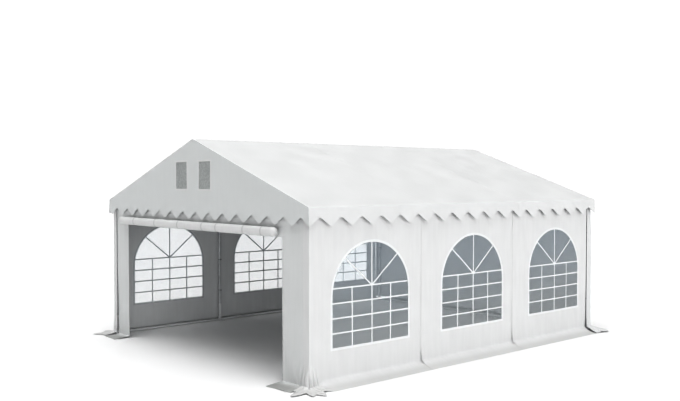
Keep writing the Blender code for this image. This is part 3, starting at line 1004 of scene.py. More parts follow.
zip_plastic = moulded_plastic("zip_plastic", (0.60, 0.61, 0.61), 0.4)
band_places = [STRIP_END - DOORWAY_HALF - ZIP_BAND / 2, STRIP_END + DOORWAY_HALF + ZIP_BAND / 2]
tooth_places = [STRIP_END - DOORWAY_HALF + ZIP_TOOTH[0] / 2, STRIP_END + DOORWAY_HALF - ZIP_TOOTH[0] / 2]
front_bands = zip_bands("front_zip_bands", FRONT, band_places, front_shaded_white)
front_teeth = zip_teeth("front_zip_teeth", FRONT, tooth_places)
front_size = (2 * STRIP_END + TUCK, GABLE_WALL_TOP - FLAT_FOOT.end)
print("front wall cut", metres(front_size), "with", len(front_teeth.data.polygons) // 6, "zip teeth")

# %% [markdown]
# ## Rolled-up door
# The front door is rolled up and tied under the gable. A solid bar would show a flat disc at its end, so
# the roll is modelled as the real thing: one long sheet wound into a spiral. In a spiral the radius shrinks
# evenly with the angle. Ties of webbing press it in, and between them it sags and creases a little.

# %% Rolled door
ROLL_LEFT, ROLL_RIGHT = -2.14, 1.96
ROLL_Y, ROLL_Z = -3.1026, 1.879
ROLL_RADIUS = 0.066
ROLL_CORE = 0.014
ROLL_TURNS = 7.6
ROLL_FULL = 2 * math.pi * ROLL_TURNS
ROLL_START = 2.6  # angle of the sheet's outer end, behind and above
ROLL_DEPTH = 0.94  # how deep the roll is, as a share of its height
ROLL_THICK = 0.0012
TIE_XS = (-1.62, -0.97, -0.31, 0.33, 0.68, 1.31, 1.70)
TIE_SQUEEZE = 0.05
roll_waves = fold_waves(6, 0.05, 0.35)


def tie_pinch(x, width=0.035):
    """1 at a tie, falling off to 0 beside it."""
    return np.max([np.exp(-((x - tie) / width) ** 2) for tie in TIE_XS], axis=0)


def wound_radius(wound):
    """Radius at an angle wound off from the outer end: it falls evenly from the outer turn to the core."""
    return ROLL_RADIUS + (ROLL_CORE - ROLL_RADIUS) * wound / ROLL_FULL


def squared(angle):
    """Squares the round a little: 0.96 / (|cos|^2.6 + |sin|^2.6)^(1 / 2.6)."""
    return 0.96 * (np.abs(np.cos(angle)) ** 2.6 + np.abs(np.sin(angle)) ** 2.6) ** (-1 / 2.6)


def round_roll(x, radius, angle, sag=0.0):
    """y = middle - depth * radius cos(angle) and z = middle - sag + radius sin(angle)."""
    y = ROLL_Y - ROLL_DEPTH * radius * np.cos(angle)
    z = ROLL_Z - sag + radius * np.sin(angle)
    return np.stack(np.broadcast_arrays(x, y, z), axis=-1)


def roll_surface(x, wound):
    """Place of the rolled cloth. Its radius is the wound one, with creases on the outer turns, pinched at the
    ties, squared a little, and falling like a ball's at both ends."""
    loose = 1 - tie_pinch(x)
    creases = (1 - wound / ROLL_FULL) * 0.0022 * loose * add_waves(roll_waves, x, wound * 0.35)
    radius = wound_radius(wound) * (1 - TIE_SQUEEZE * (1 - loose)) + creases
    end = np.clip((x - (ROLL_RIGHT - 0.06)) / 0.06, 0, 1) + np.clip((ROLL_LEFT + 0.05 - x) / 0.05, 0, 1)
    angle = wound + ROLL_START
    radius = radius * np.sqrt(1 - 0.93 * end ** 2) * squared(angle)
    return round_roll(x, radius, angle, 0.004 * loose)


def rolled_door():
    """The door's sheet, wound up, and how long it is."""
    rounded_end = ROLL_RIGHT - np.geomspace(0.003, 0.06, 9)
    x = np.unique(np.concatenate([np.linspace(ROLL_LEFT, ROLL_RIGHT, 95), rounded_end]))
    wound = np.linspace(0, ROLL_FULL, 200)
    points = roll_surface(x[None, :], wound[:, None])
    steps = np.diff(wound) * np.linspace(ROLL_RADIUS, ROLL_CORE, len(wound) - 1)
    down = np.concatenate([[0.0], np.cumsum(steps)])
    flat = np.stack(np.broadcast_arrays(x[None, :], down[:, None]), axis=-1).reshape(-1, 2)
    quads = grid_quads(len(wound), len(x))
    cloth = cloth_piece("rolled_door_cloth", points.reshape(-1, 3), quads, wall_white, flat, ROLL_THICK,
                        "rolled_front_door")
    return cloth, float(down[-1])


door_cloth, door_long = rolled_door()
print("the rolled door is", round(door_long, 2), "m long when it hangs")

# %% Ties
TIE_WIDE = 0.025
TIE_THICK = 0.0011
TIE_OUT = 0.0016  # from the roll's cloth to the edges of the tie


def webbing_finish():
    """Woven strap: ribs across and a herringbone of slanted threads."""
    finish, tree, shader = start_finish("tie_webbing")
    flat = cloth_place(tree)
    ribs, slant = thread_waves(tree, flat, "Y", 150.0), thread_waves(tree, flat, "DIAGONAL", 110.0)
    threads = sum_up(tree, "MULTIPLY", ribs, slant)
    worn = speckle(tree, flat, 30.0, 4.0)
    shade = tint(tree, threads, (0.60, 0.61, 0.61), (0.70, 0.71, 0.71))
    shade = tint(tree, spread(tree, worn, 0.45, 0.75, 0.0, 0.4), shade, (0.66, 0.66, 0.65))
    set_surface(tree, shader, shade, spread(tree, worn, 0.3, 0.7, 0.7, 0.85), threads, 0.6, 0.0006)
    return finish


def strap_along(path, axis, wide, raise_by=0.0008):
    """Grid of a strap: a raised profile carried along a path, across the given axis and away from its inside.

    Outward = heading x axis, point = path + axis * across + outward * lift."""
    heading = np.gradient(path, axis=0)
    heading /= np.linalg.norm(heading, axis=1)[:, None]
    outward = np.cross(heading, axis)
    profile = raised_profile(wide, raise_by)
    points = path[:, None] + axis * profile[None, :, :1] + outward[:, None] * profile[None, :, 1:]
    run = np.concatenate([[0.0], np.cumsum(np.linalg.norm(np.diff(path, axis=0), axis=1))])
    flat = np.stack(np.broadcast_arrays(profile[None, :, 0], run[:, None]), axis=-1)
    return points, flat


def door_ties():
    """A strap round the roll at each tie, from the wall behind, over the front, and back under it.

    Its radius is the squeezed roll's at the same angle, and its own thickness more."""
    angle = np.linspace(math.radians(140), math.radians(-140), 61)
    squeezed = wound_radius(angle + 2 * math.pi - ROLL_START) * (1 - TIE_SQUEEZE)
    straps = []
    for tie in TIE_XS:
        loop = round_roll(tie, squeezed * squared(angle) + TIE_OUT, angle)
        tail = np.linspace((tie, -WALL_Y - 0.003, ROLL_Z + 0.062), loop[0], 12)[:-1]
        points, flat = strap_along(np.concatenate([tail, loop]), np.array((1.0, 0.0, 0.0)), TIE_WIDE)
        both = np.concatenate([points, flat], axis=-1).reshape(-1, 5)
        straps.append((both, grid_quads(*points.shape[:2])[:, ::-1]))
    both, quads = stack_parts(straps)
    ties = make_piece("door_ties", both[:, :3], quads, [webbing_finish()], both[:, 3:])
    give_thickness(ties, TIE_THICK)
    return ties


ties = door_ties()
print("ties round the roll:", len(TIE_XS))

# %% [markdown]
# ## Back wall and back door
# The back is closed. Its wall wraps round both back corners with a hand's width of cloth, and the door
# between the strips hangs down to the ground like the walls, with a closed zip at each side. It has the
# side walls' section and is made with the front wall's helpers.

# %% Line and folds of the back wall
BACK_RETURN_Y = 2.9293
BACK_LINE = [(WALL_X, BACK_RETURN_Y), (WALL_X, WALL_Y), (-WALL_X, WALL_Y), (-WALL_X, BACK_RETURN_Y)]
BACK_FLAP = WALL_Y - BACK_RETURN_Y
BACK_LONG = line_length(BACK_LINE)
BACK_CORNERS = (BACK_FLAP, BACK_LONG - BACK_FLAP)
DOOR_SIDES = (BACK_FLAP + WALL_X - DOORWAY_HALF, BACK_FLAP + WALL_X + DOORWAY_HALF)
back_waves = wall_waves()


def back_lift(flat):
    """Folds of the back wall, with pleats beside both corners, which bag out a little below the roof."""
    lift = wall_folds(flat, BACK_CORNERS, back_waves, 0.006, 0.004)
    for corner in BACK_CORNERS:
        from_corner = flat[:, 0] - corner
        lift = lift + corner_pleats(from_corner, flat[:, 1], 0.14, 0.012)
        lift = lift + 0.016 * np.exp(-(from_corner / 0.055) ** 2) * (1 - ease((flat[:, 1] - 1.6) / 0.4))
    return lift


def back_reach(flat):
    """Where the foot turns a corner it reaches out to a blunt point."""
    reach = 0.004 * np.sin(13 * flat[:, 0])
    for corner in BACK_CORNERS:
        turned = (flat[:, 0] - corner) / CORNER_ROUNDING * 45.0
        around = np.clip(turned, -45.0, 45.0) + (flat[:, 0] - corner) * 150.0
        reach = reach + 0.075 * np.maximum(1 - np.abs(around) / 45.0, 0.0)
    return reach


def back_flare(flat):
    """How far the feet of the flaps' free edges spread along the long sides, over the side walls' skirts."""
    low = 0.04 * ease((0.09 - flat[:, 1]) / 0.16)
    return low * (np.exp(-((BACK_LONG - flat[:, 0]) / 0.06) ** 2) - np.exp(-(flat[:, 0] / 0.06) ** 2))


BACK = (BACK_LINE, back_lift, back_reach, SOFT_FOOT)
print("the back wall is", round(BACK_LONG, 3), "m long round its corners")

# %% Back wall and door
DOOR_GAP = 0.0003


def back_wall():
    """Corner flaps, strips and the band over the doorway, as one sheet round two corners."""
    near = BACK_CORNERS[0]
    first = np.concatenate([
        columns(0.0, near - CORNER_ROUNDING, STRIP_STEP)[:-1],
        np.linspace(near - CORNER_ROUNDING, near + CORNER_ROUNDING, 25)[:-1],
        columns(near + CORNER_ROUNDING, DOOR_SIDES[0], 0.018)])
    last = (BACK_LONG - first)[::-1]
    over = np.concatenate([first[:-1], columns(*DOOR_SIDES, 0.05), last[1:]])
    rows, band_rows = strip_rows(SOFT_FOOT), np.linspace(DOORWAY_HIGH, GABLE_WALL_TOP, 12)
    flat, quads = join_zones([strip(first, rows), strip(last, rows), strip(over, band_rows)])
    flare = back_flare(flat)
    shifted = flat + np.column_stack([flare, 0 * flare])
    points = hang(shifted, BACK_LINE, back_lift(flat) + 0.1 * np.abs(flare), back_reach(flat))
    return cloth_piece("back_wall_cloth", points, quads, rear_white, flat, WALL_THICK,
                       "back_wall")


def back_door():
    """The closed door between the strips, and its flat size."""
    low, high = DOOR_SIDES[0] + DOOR_GAP, DOOR_SIDES[1] - DOOR_GAP
    rows = strip_rows(SOFT_FOOT, DOORWAY_HIGH - DOOR_GAP, 60)
    flat, quads = join_zones([strip(columns(low, high, 0.04), rows)])
    cloth = cloth_piece("back_door_cloth", on_end_wall(BACK, flat), quads, rear_white, flat, WALL_THICK,
                        "back_door_panel")
    return cloth, (high - low, DOORWAY_HIGH - SOFT_FOOT.end)


back_cloth = back_wall()
door_panel, door_size = back_door()
back_bands = zip_bands("back_zip_bands", BACK, DOOR_SIDES, band_white)
back_size = (BACK_LONG, GABLE_WALL_TOP - SOFT_FOOT.end)
print("back wall cut", metres(back_size), "and its door", metres(door_size))

# %% [markdown]
# ## Roof cover
# One sheet lies over both slopes and ends in a wavy valance down each long side. Seen from the gable its
# section is a line that starts level on the ridge, runs down the slope, and turns down at the eave. The
# section is worked out from its direction: the place is the running sum of the heading, so that ridge and
# eave come out softly rounded. Between the frames the cloth sinks a little, and the valance swings in
# shallow waves.

# %% The roof's section
ROOF_X, ROOF_Y = 2.565, 3.0803
RIDGE_TOP, EAVE_TOP = 3.09, 2.19
PITCH = math.atan2(RIDGE_TOP - EAVE_TOP, ROOF_X)
SLOPE_LONG = ROOF_X / math.cos(PITCH)
NOTCH_Z, TIP_Z = 2.064, 1.962
SIDE_WAVE = 0.3408
CLOTH_THICK = 0.0018
RIDGE_ROUND = 0.02
EAVE_ROUND = 0.014  # to each side of the eave
roof_waves = np.concatenate([fold_waves(4, 0.35, 0.9), fold_waves(4, 0.8, 2.4)])


def wave_height(distance, wave):
    """Height of the wavy edge at a distance from a notch: halfway between a zigzag and a cosine."""
    phase = np.mod(distance / wave, 1.0)
    zigzag = 1 - 4 * np.minimum(phase, 1 - phase)
    share = (zigzag + np.cos(2 * math.pi * phase)) / 2
    return (NOTCH_Z + TIP_Z) / 2 + share * (NOTCH_Z - TIP_Z) / 2


def roof_section(distance):
    """Place across and height, and the angle below level, at a distance from the ridge down one slope.

    The angle rises from 0 to the pitch at the ridge and to a right angle at the eave. The place is the
    running sum of (cos, -sin) of the angle, scaled by a hair, so that the valance hangs exactly at its
    distance from the middle."""
    fine = np.linspace(0, SLOPE_LONG + 0.3, 6001)
    at_eave = ease((fine - SLOPE_LONG) / (2 * EAVE_ROUND) + 0.5)
    angle = PITCH * ease(fine / RIDGE_ROUND) + (math.pi / 2 - PITCH) * at_eave
    step = fine[1] - fine[0]
    across = np.concatenate([[0.0], np.cumsum(np.cos(angle[:-1])) * step])
    down = np.concatenate([[0.0], np.cumsum(np.sin(angle[:-1])) * step])
    across *= ROOF_X / across[-1]
    down *= (RIDGE_TOP - EAVE_TOP) / np.interp(SLOPE_LONG, fine, down)
    across, down, angle = (np.interp(distance, fine, values) for values in (across, down, angle))
    return across, RIDGE_TOP - down, angle


def roof_lift(y, distance):
    """Sag between the frames on the slope, and swing of the valance towards its edge."""
    bay = np.sin(math.pi * (y + 3.0) / 2.0) ** 2 * (np.abs(y) < 3.0)
    slope = np.sin(math.pi * np.clip(distance / SLOPE_LONG, 0, 1)) ** 0.7
    sag = -0.014 * bay * slope * (0.7 + 0.3 * add_waves(roof_waves[4:], y, distance))
    ripple = 0.0016 * add_waves(roof_waves[:4], y, distance) * bay * slope
    hanging = np.clip((distance - SLOPE_LONG) / 0.2, 0, 1.2)
    waves = 0.005 * add_waves(roof_waves[:4], y, distance)
    return sag + ripple + hanging * (waves + 0.005 * np.cos(2 * math.pi * y / SIDE_WAVE))


def roof_points(flat, raise_by=0.0):
    """Puts flat roof cloth (place along the ridge, signed distance from it) on the roof."""
    y, signed = flat[:, 0], flat[:, 1]
    distance, side = np.abs(signed), np.where(signed < 0, -1.0, 1.0)
    across, z, angle = roof_section(distance)
    lift = roof_lift(y, distance) + raise_by
    return np.stack([side * (across + lift * np.sin(angle)), y, z + lift * np.cos(angle)], axis=-1)


print("a slope is", round(SLOPE_LONG, 3), "m long, at", round(math.degrees(PITCH), 1), "degrees")

# %% Roof cover
HEM_WIDE, SEAM_WIDE = 0.020, 0.042
HEM_Y = ROOF_Y - 0.011
SEAM_Y = 1.02
SEAM_DOWN = 0.12  # how far the seams run down the valance
ROOF_STRIP_RAISE, ROOF_STRIP_BASE, ROOF_STRIP_STEP = 0.0006, 0.0002, 0.025


def slope_rows():
    """Distances from the ridge for the rows of one slope, close together at the ridge and at the eave."""
    return np.concatenate([np.linspace(0, RIDGE_ROUND, 5)[:-1],
                           np.linspace(RIDGE_ROUND, SLOPE_LONG - EAVE_ROUND, 40)[:-1],
                           np.linspace(SLOPE_LONG - EAVE_ROUND, SLOPE_LONG + EAVE_ROUND, 7)])


def roof_cover():
    """Both slopes and both valances as one sheet."""
    steps = np.arange(-106, 107) * (SIDE_WAVE / 12)
    y = np.unique(np.concatenate([[-ROOF_Y], steps[np.abs(steps) < ROOF_Y - 0.004], [ROOF_Y]]))
    slope = slope_rows()
    edge = SLOPE_LONG + EAVE_TOP - wave_height(y - SIDE_WAVE / 2, SIDE_WAVE)
    share = np.linspace(0, 1, 9)[1:, None]
    valance = slope[-1] + (edge[None, :] - slope[-1]) * share
    half = np.concatenate([np.broadcast_to(slope[:, None], (len(slope), len(y))), valance])
    signed = np.concatenate([half[:0:-1], -half])
    flat = np.stack([np.broadcast_to(y, signed.shape), signed], axis=-1).reshape(-1, 2)
    return cloth_piece("roof_cloth", roof_points(flat), grid_quads(*signed.shape), roof_white, flat,
                       CLOTH_THICK, "roof_cover")


def roof_strips(name, ys, end, wide, finish):
    """Welded strips over both slopes, from end to end, one at each place along the ridge."""
    size = (wide, ROOF_STRIP_RAISE, ROOF_STRIP_BASE, ROOF_STRIP_STEP)
    strips = [flat_strip((y, -end), (y, end), *size) for y in ys]
    flat, lift, quads = stack_strips(strips)
    return cloth_piece(name, roof_points(flat, lift), quads[:, ::-1], finish, flat, STRIP_THICK)


roof_cloth = roof_cover()
roof_hems = roof_strips("roof_hems", (-HEM_Y, HEM_Y), SLOPE_LONG, HEM_WIDE, band_white)
roof_seams = roof_strips("roof_seams", (-SEAM_Y, SEAM_Y), SLOPE_LONG + SEAM_DOWN, SEAM_WIDE, roof_white)
roof_size = (2 * ROOF_Y, 2 * (SLOPE_LONG + EAVE_TOP - TIP_Z))
print("roof cut", metres(roof_size), "with", len(roof_cloth.data.polygons), "quads")

# %% [markdown]
# ## Gable cloths and vents
# A triangle of cloth closes each end under the roof. Its lower edge waves like the valance, and two
# openings near the ridge let warm air out. Rows of the grid run level where the openings are, so that they
# can be left out cleanly, and squeeze together towards the eaves. Behind each opening lies a net, made of
# real crossed threads.

# %% The gable's surface
END_WORDS = {-1: "front", 1: "back"}
VENT_INNER, VENT_OUTER, VENT_LOW, VENT_HIGH = 0.16, 0.447, 2.39, 2.77
GABLE_WAVE, GABLE_SHIFT = 0.3365, 0.062
GABLE_HALF = 2.5625
GABLE_INSET = 0.0006  # behind the roof's cut edge
LEVEL_ZONE = 0.62  # within this distance from the middle the rows run level
gable_waves = {sign: fold_waves(8, 0.3, 1.4) for sign in (-1, 1)}


def gable_top(x):
    """Height of the gable's sloping edge: the roof's section, read off at |x|, less half its thickness."""
    across, z = roof_section(np.linspace(0, SLOPE_LONG + EAVE_ROUND, 2001))[:2]
    return np.interp(np.abs(x), across, z) - CLOTH_THICK / 2


def gable_lift(flat, sign):
    """A slight swell that dies out at the sloping edges, and a swing of the free wavy edge."""
    x = -sign * flat[:, 0]
    held = ease((gable_top(x) - flat[:, 1]) / 0.5)
    swell = 0.004 * held * add_waves(gable_waves[sign][:4], flat[:, 0], flat[:, 1])
    free = ease((2.25 - flat[:, 1]) / 0.3) * held
    swing = 0.006 * add_waves(gable_waves[sign][4:], flat[:, 0], flat[:, 1])
    return swell + free * (swing - 0.003 * np.cos(2 * math.pi * (x - GABLE_SHIFT) / GABLE_WAVE))


def gable_points(flat, sign, raise_by=0.0):
    """Puts flat gable cloth (along, height) at its end: along runs to the right, seen from outside."""
    lift = gable_lift(flat, sign) + raise_by
    return np.column_stack([-sign * flat[:, 0], sign * (ROOF_Y - GABLE_INSET + lift), flat[:, 1]])


print("the gable's edge is", round(float(gable_top(GABLE_HALF)), 3), "m high at its end")

# %% Gable cloths
def gable_rows(x):
    """Heights of the grid's rows at each place: level in the middle, even shares of the height outside."""
    low = wave_height(x - GABLE_SHIFT, GABLE_WAVE)
    top = gable_top(x)

    def level(low, top):
        """Rows that run level from the eave to the openings' upper edge, and share what is left."""
        parts = [np.linspace(0, 1, 9)[:-1, None] * (EAVE_TOP - low) + low]
        for a, b, count in ((EAVE_TOP, VENT_LOW, 7), (VENT_LOW, VENT_HIGH, 13)):
            rows = np.linspace(a, b, count, endpoint=False)[:, None]
            parts.append(np.broadcast_to(rows, (count, low.size)))
        parts.append(np.linspace(0, 1, 8)[:, None] * (top - VENT_HIGH) + VENT_HIGH)
        return np.concatenate(parts)

    limit = np.where(x < 0, -LEVEL_ZONE, LEVEL_ZONE)
    low_there, top_there = wave_height(limit - GABLE_SHIFT, GABLE_WAVE), gable_top(limit)
    share = (level(low_there, top_there) - low_there) / (top_there - low_there)
    return np.where(np.abs(x) < LEVEL_ZONE, level(low, top), low + share * (top - low))


def in_vent(x, z):
    """True inside the two openings."""
    across = (np.abs(x) > VENT_INNER) & (np.abs(x) < VENT_OUTER)
    return across & (z > VENT_LOW) & (z < VENT_HIGH)


def gable_cloth(sign):
    """One gable's sheet, with two openings left out of its grid."""
    steps = GABLE_SHIFT + np.arange(-100, 101) * (GABLE_WAVE / 12)
    lines = np.array([-GABLE_HALF, -VENT_OUTER, -VENT_INNER, 0.0, VENT_INNER, VENT_OUTER, GABLE_HALF])
    near_line = np.min(np.abs(steps[:, None] - lines[None, :]), axis=1) < 0.009
    x = np.unique(np.concatenate([steps[(np.abs(steps) < GABLE_HALF) & ~near_line], lines]))
    if sign > 0:
        x = x[::-1]
    z = gable_rows(x)
    flat = np.stack([np.broadcast_to(-sign * x, z.shape), z], axis=-1).reshape(-1, 2)
    quads = grid_quads(*z.shape)
    centre = flat[quads].mean(axis=1)
    quads = quads[~in_vent(centre[:, 0], centre[:, 1])]
    used, back = np.unique(quads, return_inverse=True)
    quads, flat = back.reshape(quads.shape), flat[used]
    return cloth_piece(f"gable_cloth_{END_WORDS[sign]}", gable_points(flat, sign), quads, gable_shaded_white, flat,
                       CLOTH_THICK, f"gable_panel_{END_WORDS[sign]}")


print("a gable's grid has", len(gable_rows(np.zeros(1))), "rows")

# %% Vents
VENT_BORDER = 0.024
VENT_RAISE, LEVEL_BASE, UPRIGHT_BASE = 0.0009, 0.0004, 0.0001
NET_PITCH = 0.0035
NET_THREAD = 0.00062  # half a thread's width
NET_LAP = 0.012
NET_DEPTH = 0.0036  # of the upright threads behind the roof's end
NET_LAYER = 0.001  # from the upright threads to the level ones
THREAD_BAR = np.array([(a, b, c) for c in (0, 1) for a, b in ((-1, 0), (0, -1), (1, 0), (0, 1))], dtype=float)
THREAD_SIDES = np.array([(0, 1, 5, 4), (1, 2, 6, 5), (2, 3, 7, 6), (3, 0, 4, 7), (3, 2, 1, 0), (4, 5, 6, 7)])


def vent_sides(grow):
    """The two openings, grown on all sides, as (low x, high x, low z, high z)."""
    pairs = [sorted((side * VENT_INNER, side * VENT_OUTER)) for side in (-1, 1)]
    return [(low - grow, high + grow, VENT_LOW - grow, VENT_HIGH + grow) for low, high in pairs]


def vent_borders(sign):
    """White strips welded round both openings."""
    half = VENT_BORDER / 2
    strips = []
    for low_x, high_x, low_z, high_z in vent_sides(half):
        for z in (low_z, high_z):
            start, end = (low_x - half, z), (high_x + half, z)
            strips.append(flat_strip(start, end, VENT_BORDER, VENT_RAISE, LEVEL_BASE))
        for x in (low_x, high_x):
            strips.append(flat_strip((x, low_z), (x, high_z), VENT_BORDER, VENT_RAISE, UPRIGHT_BASE))
    flat, lift, quads = stack_strips(strips)
    return cloth_piece(f"vent_borders_{END_WORDS[sign]}", gable_points(flat, sign, lift), quads, roof_white,
                       flat, STRIP_THICK)


def net_threads(places, start, end, depth, turn):
    """Corners of threads side by side, as (place, depth, place along). Each is a square bar on its edge."""
    one = np.ones((len(places), 8))
    return np.stack([places[:, None] + THREAD_BAR[:, 0] * NET_THREAD,
                     (turn * THREAD_BAR[:, 1] * NET_THREAD - depth) * one,
                     (start + THREAD_BAR[:, 2] * (end - start)) * one], axis=-1)


def vent_net(sign):
    """Two layers of crossed threads behind each opening."""
    boxes = []
    for low_x, high_x, low_z, high_z in vent_sides(NET_LAP):
        boxes.append(net_threads(np.arange(low_x, high_x, NET_PITCH), low_z, high_z, NET_DEPTH, 1))
        level_places = np.arange(low_z, high_z, NET_PITCH)
        level = net_threads(level_places, low_x, high_x, NET_DEPTH + NET_LAYER, -1)
        boxes.append(level[:, :, ::-1])
    corners = np.concatenate(boxes)
    quads = repeat_quads(THREAD_SIDES, 8, len(corners))[:, ::-1]
    corners = corners.reshape(-1, 3)
    points = np.column_stack([-sign * corners[:, 0], sign * (ROOF_Y + corners[:, 1]), corners[:, 2]])
    net = make_piece(f"vent_threads_{END_WORDS[sign]}", points, quads, [net_thread], corners[:, [0, 2]],
                     smooth=False)
    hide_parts(f"vent_net_{END_WORDS[sign]}")
    return net


net_thread = moulded_plastic("net_thread", (0.72, 0.74, 0.735), 0.7)
gable_size = (2 * GABLE_HALF, RIDGE_TOP - TIP_Z)
for sign in (-1, 1):
    cloth, borders, net = gable_cloth(sign), vent_borders(sign), vent_net(sign)
    print(cloth.name, metres(gable_size), "and", net.name, "with", len(net.data.polygons) // 6, "threads")

# %% [markdown]
# ## Galvanised steel
# The frame's tubes are dipped in molten zinc. The zinc sets in flat crystals a centimetre or two wide, each
# a little lighter or darker than the next, and in the air it grows a dull pale skin, so it is only a little
# metallic. Below the sleeves' height the zinc is painted paler: painted light on the feet and the rails on
# the ground. The solid model's tubes already have the right shape, so they stay and only change their
# finish. A crystal pattern is what a Voronoi texture makes.

# %% Steel
STEEL_NAMES = ("post", "rafter", "ridge", "eave", "ground", "gable_bar")
PAINTED_LIGHT_BELOW = 0.30  # the height of the foot sleeves


def zinc_finish(name, colour, crystal):
    """Zinc: crystals of different grey and gloss, dull patches, fine grain, and painted light that makes the
    feet and rails paler.
    """
    finish, tree, shader = start_finish(name)
    place = object_place(tree)
    moved = tint(tree, 0.02, place, speckle(tree, place, 18.0, 2.0, "Color"), "Vector")
    cells = add_node(tree, "ShaderNodeTexVoronoi", None, Vector=moved, Scale=crystal).outputs["Color"]
    flower = add_node(tree, "ShaderNodeSeparateColor", None, Color=cells).outputs[0]
    worn = speckle(tree, place, 6.0, 5.0)
    grain = speckle(tree, place, 450.0, 2.0)
    shade = tint(tree, flower, colour, tuple(min(c * 1.25, 1.0) for c in colour))
    shade = tint(tree, spread(tree, worn, 0.45, 0.75, 0.0, 0.5), shade, tuple(c * 0.85 for c in colour))
    # Painted light: below the foot sleeves' height the zinc is mixed towards a pale grey.
    low = spread(tree, one_axis(tree, place, 2), PAINTED_LIGHT_BELOW - 0.005, PAINTED_LIGHT_BELOW + 0.005, 0.75, 0.0)
    shade = tint(tree, low, shade, (0.90, 0.905, 0.91))
    rough = sum_up(tree, "MULTIPLY_ADD", flower, 0.14, 0.40)
    rough = sum_up(tree, "ADD", rough, spread(tree, worn, 0.4, 0.8, 0.0, 0.2))
    set_surface(tree, shader, shade, rough, sum_up(tree, "ADD", grain, flower), 0.15, 0.0006)
    shader.inputs["Metallic"].default_value = 0.3
    return finish


zinc = zinc_finish("galvanised_zinc", (0.585, 0.595, 0.605), 70.0)
bolt_zinc = zinc_finish("bolt_zinc", (0.55, 0.55, 0.53), 400.0)
steel_nodes = [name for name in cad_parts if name.startswith(STEEL_NAMES)]
for name in steel_nodes:
    for material_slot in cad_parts[name].material_slots:
        material_slot.material = zinc
print("galvanised", len(steel_nodes), "tubes")

# %% [markdown]
# ## Bolts and elastic loops
# Bolts clamp the tubes in their sleeves, and elastic loops with a ball hold the walls to the posts from
# inside, on all posts but the front ones. They are small, and there are many, so each is made once from a
# turned profile, and a copy is set down at each place by turning all its points at once. A turned profile
# is a ring of points whose radius changes with the height.

# %% Turned parts
def turned_part(profile, sides):
    """A closed part from rings: point = (radius cos(angle), radius sin(angle), height), with flat ends."""
    profile = np.array(profile, dtype=float)
    angle = 2 * math.pi * np.arange(sides) / sides
    radius, height = profile[:, :1], np.broadcast_to(profile[:, 1:], (len(profile), sides))
    points = np.stack([radius * np.cos(angle), radius * np.sin(angle), height], axis=-1)
    ring = np.arange(sides)
    after = (ring + 1) % sides
    rows = (np.arange(len(profile) - 1) * sides)[:, None]
    walls = np.stack([rows + ring, rows + after, rows + sides + after, rows + sides + ring], axis=-1)
    fan = np.arange(1, sides - 2, 2)
    cap = np.column_stack([np.zeros_like(fan), fan, fan + 1, fan + 2])
    quads = [walls.reshape(-1, 4), cap[:, ::-1], cap + (len(profile) - 1) * sides]
    return points.reshape(-1, 3), np.concatenate(quads)


def set_down(parts, places, axes):
    """Copies of a part at many places: its height axis turned to point along each place's axis."""
    axes = np.array(axes, dtype=float)
    axes /= np.linalg.norm(axes, axis=1)[:, None]
    helper = np.where(np.abs(axes[:, 2:]) > 0.9, (1.0, 0.0, 0.0), (0.0, 0.0, 1.0))
    across = np.cross(helper, axes)
    across /= np.linalg.norm(across, axis=1)[:, None]
    turn = np.stack([across, np.cross(axes, across), axes], axis=2)
    copies = []
    for points, quads in parts:
        moved = np.einsum("nij,pj->npi", turn, points) + np.array(places)[:, None, :]
        copies.append((moved.reshape(-1, 3), repeat_quads(quads, len(points), len(axes))))
    return stack_parts(copies)


washer = turned_part([(0.0085, -0.0006), (0.0085, 0.0010), (0.0080, 0.0014)], 16)
head = turned_part([(0.0070, 0.0012), (0.0070, 0.0056), (0.0058, 0.0066)], 6)
print("a bolt has", len(washer[1]) + len(head[1]), "faces")

# %% Bolts
POST_X = 2.4847
SLEEVE_RADIUS = 0.028
ROOF_SOLID = 0.004  # thickness of the solid model's roof
SEAT_GAP = 0.0003  # between two of its solids
RIDGE_AXIS_Z = RIDGE_TOP - (ROOF_SOLID + SEAT_GAP + SLEEVE_RADIUS) / math.cos(PITCH)
EAVE_AXIS_Z = RIDGE_AXIS_Z - math.tan(PITCH) * POST_X
POST_BOLT_ZS = (0.09, 0.25, EAVE_AXIS_Z - 0.10)
RAFTER_BOLTS = (0.09, SLOPE_LONG - 0.17)  # distances from the ridge
bolt_places, bolt_axes = [], []
for side in (-1, 1):
    slope = np.array((side * math.cos(PITCH), 0, -math.sin(PITCH)))
    down = np.array((-side * math.sin(PITCH), 0, -math.cos(PITCH)))
    for y in FRAME_YS:
        for z in POST_BOLT_ZS:
            bolt_places.append((side * (POST_X - SLEEVE_RADIUS), y, z))
            bolt_axes.append((-side, 0, 0))
        for distance in RAFTER_BOLTS:
            under = np.array((0, y, RIDGE_AXIS_Z)) + distance * slope + down * SLEEVE_RADIUS
            bolt_places.append(tuple(under))
            bolt_axes.append(tuple(down))
points, quads = set_down([washer, head], bolt_places, bolt_axes)
bolts = make_piece("frame_bolts", points, quads, [bolt_zinc], points[:, :2], smooth=False)
print("bolts:", len(bolt_places))

# %% Elastic loops
LOOP_ZS = (0.54, 1.09, 1.64)
LOOP_RADIUS, LOOP_THICK = 0.0276, 0.0023
BALL_RADIUS = 0.011


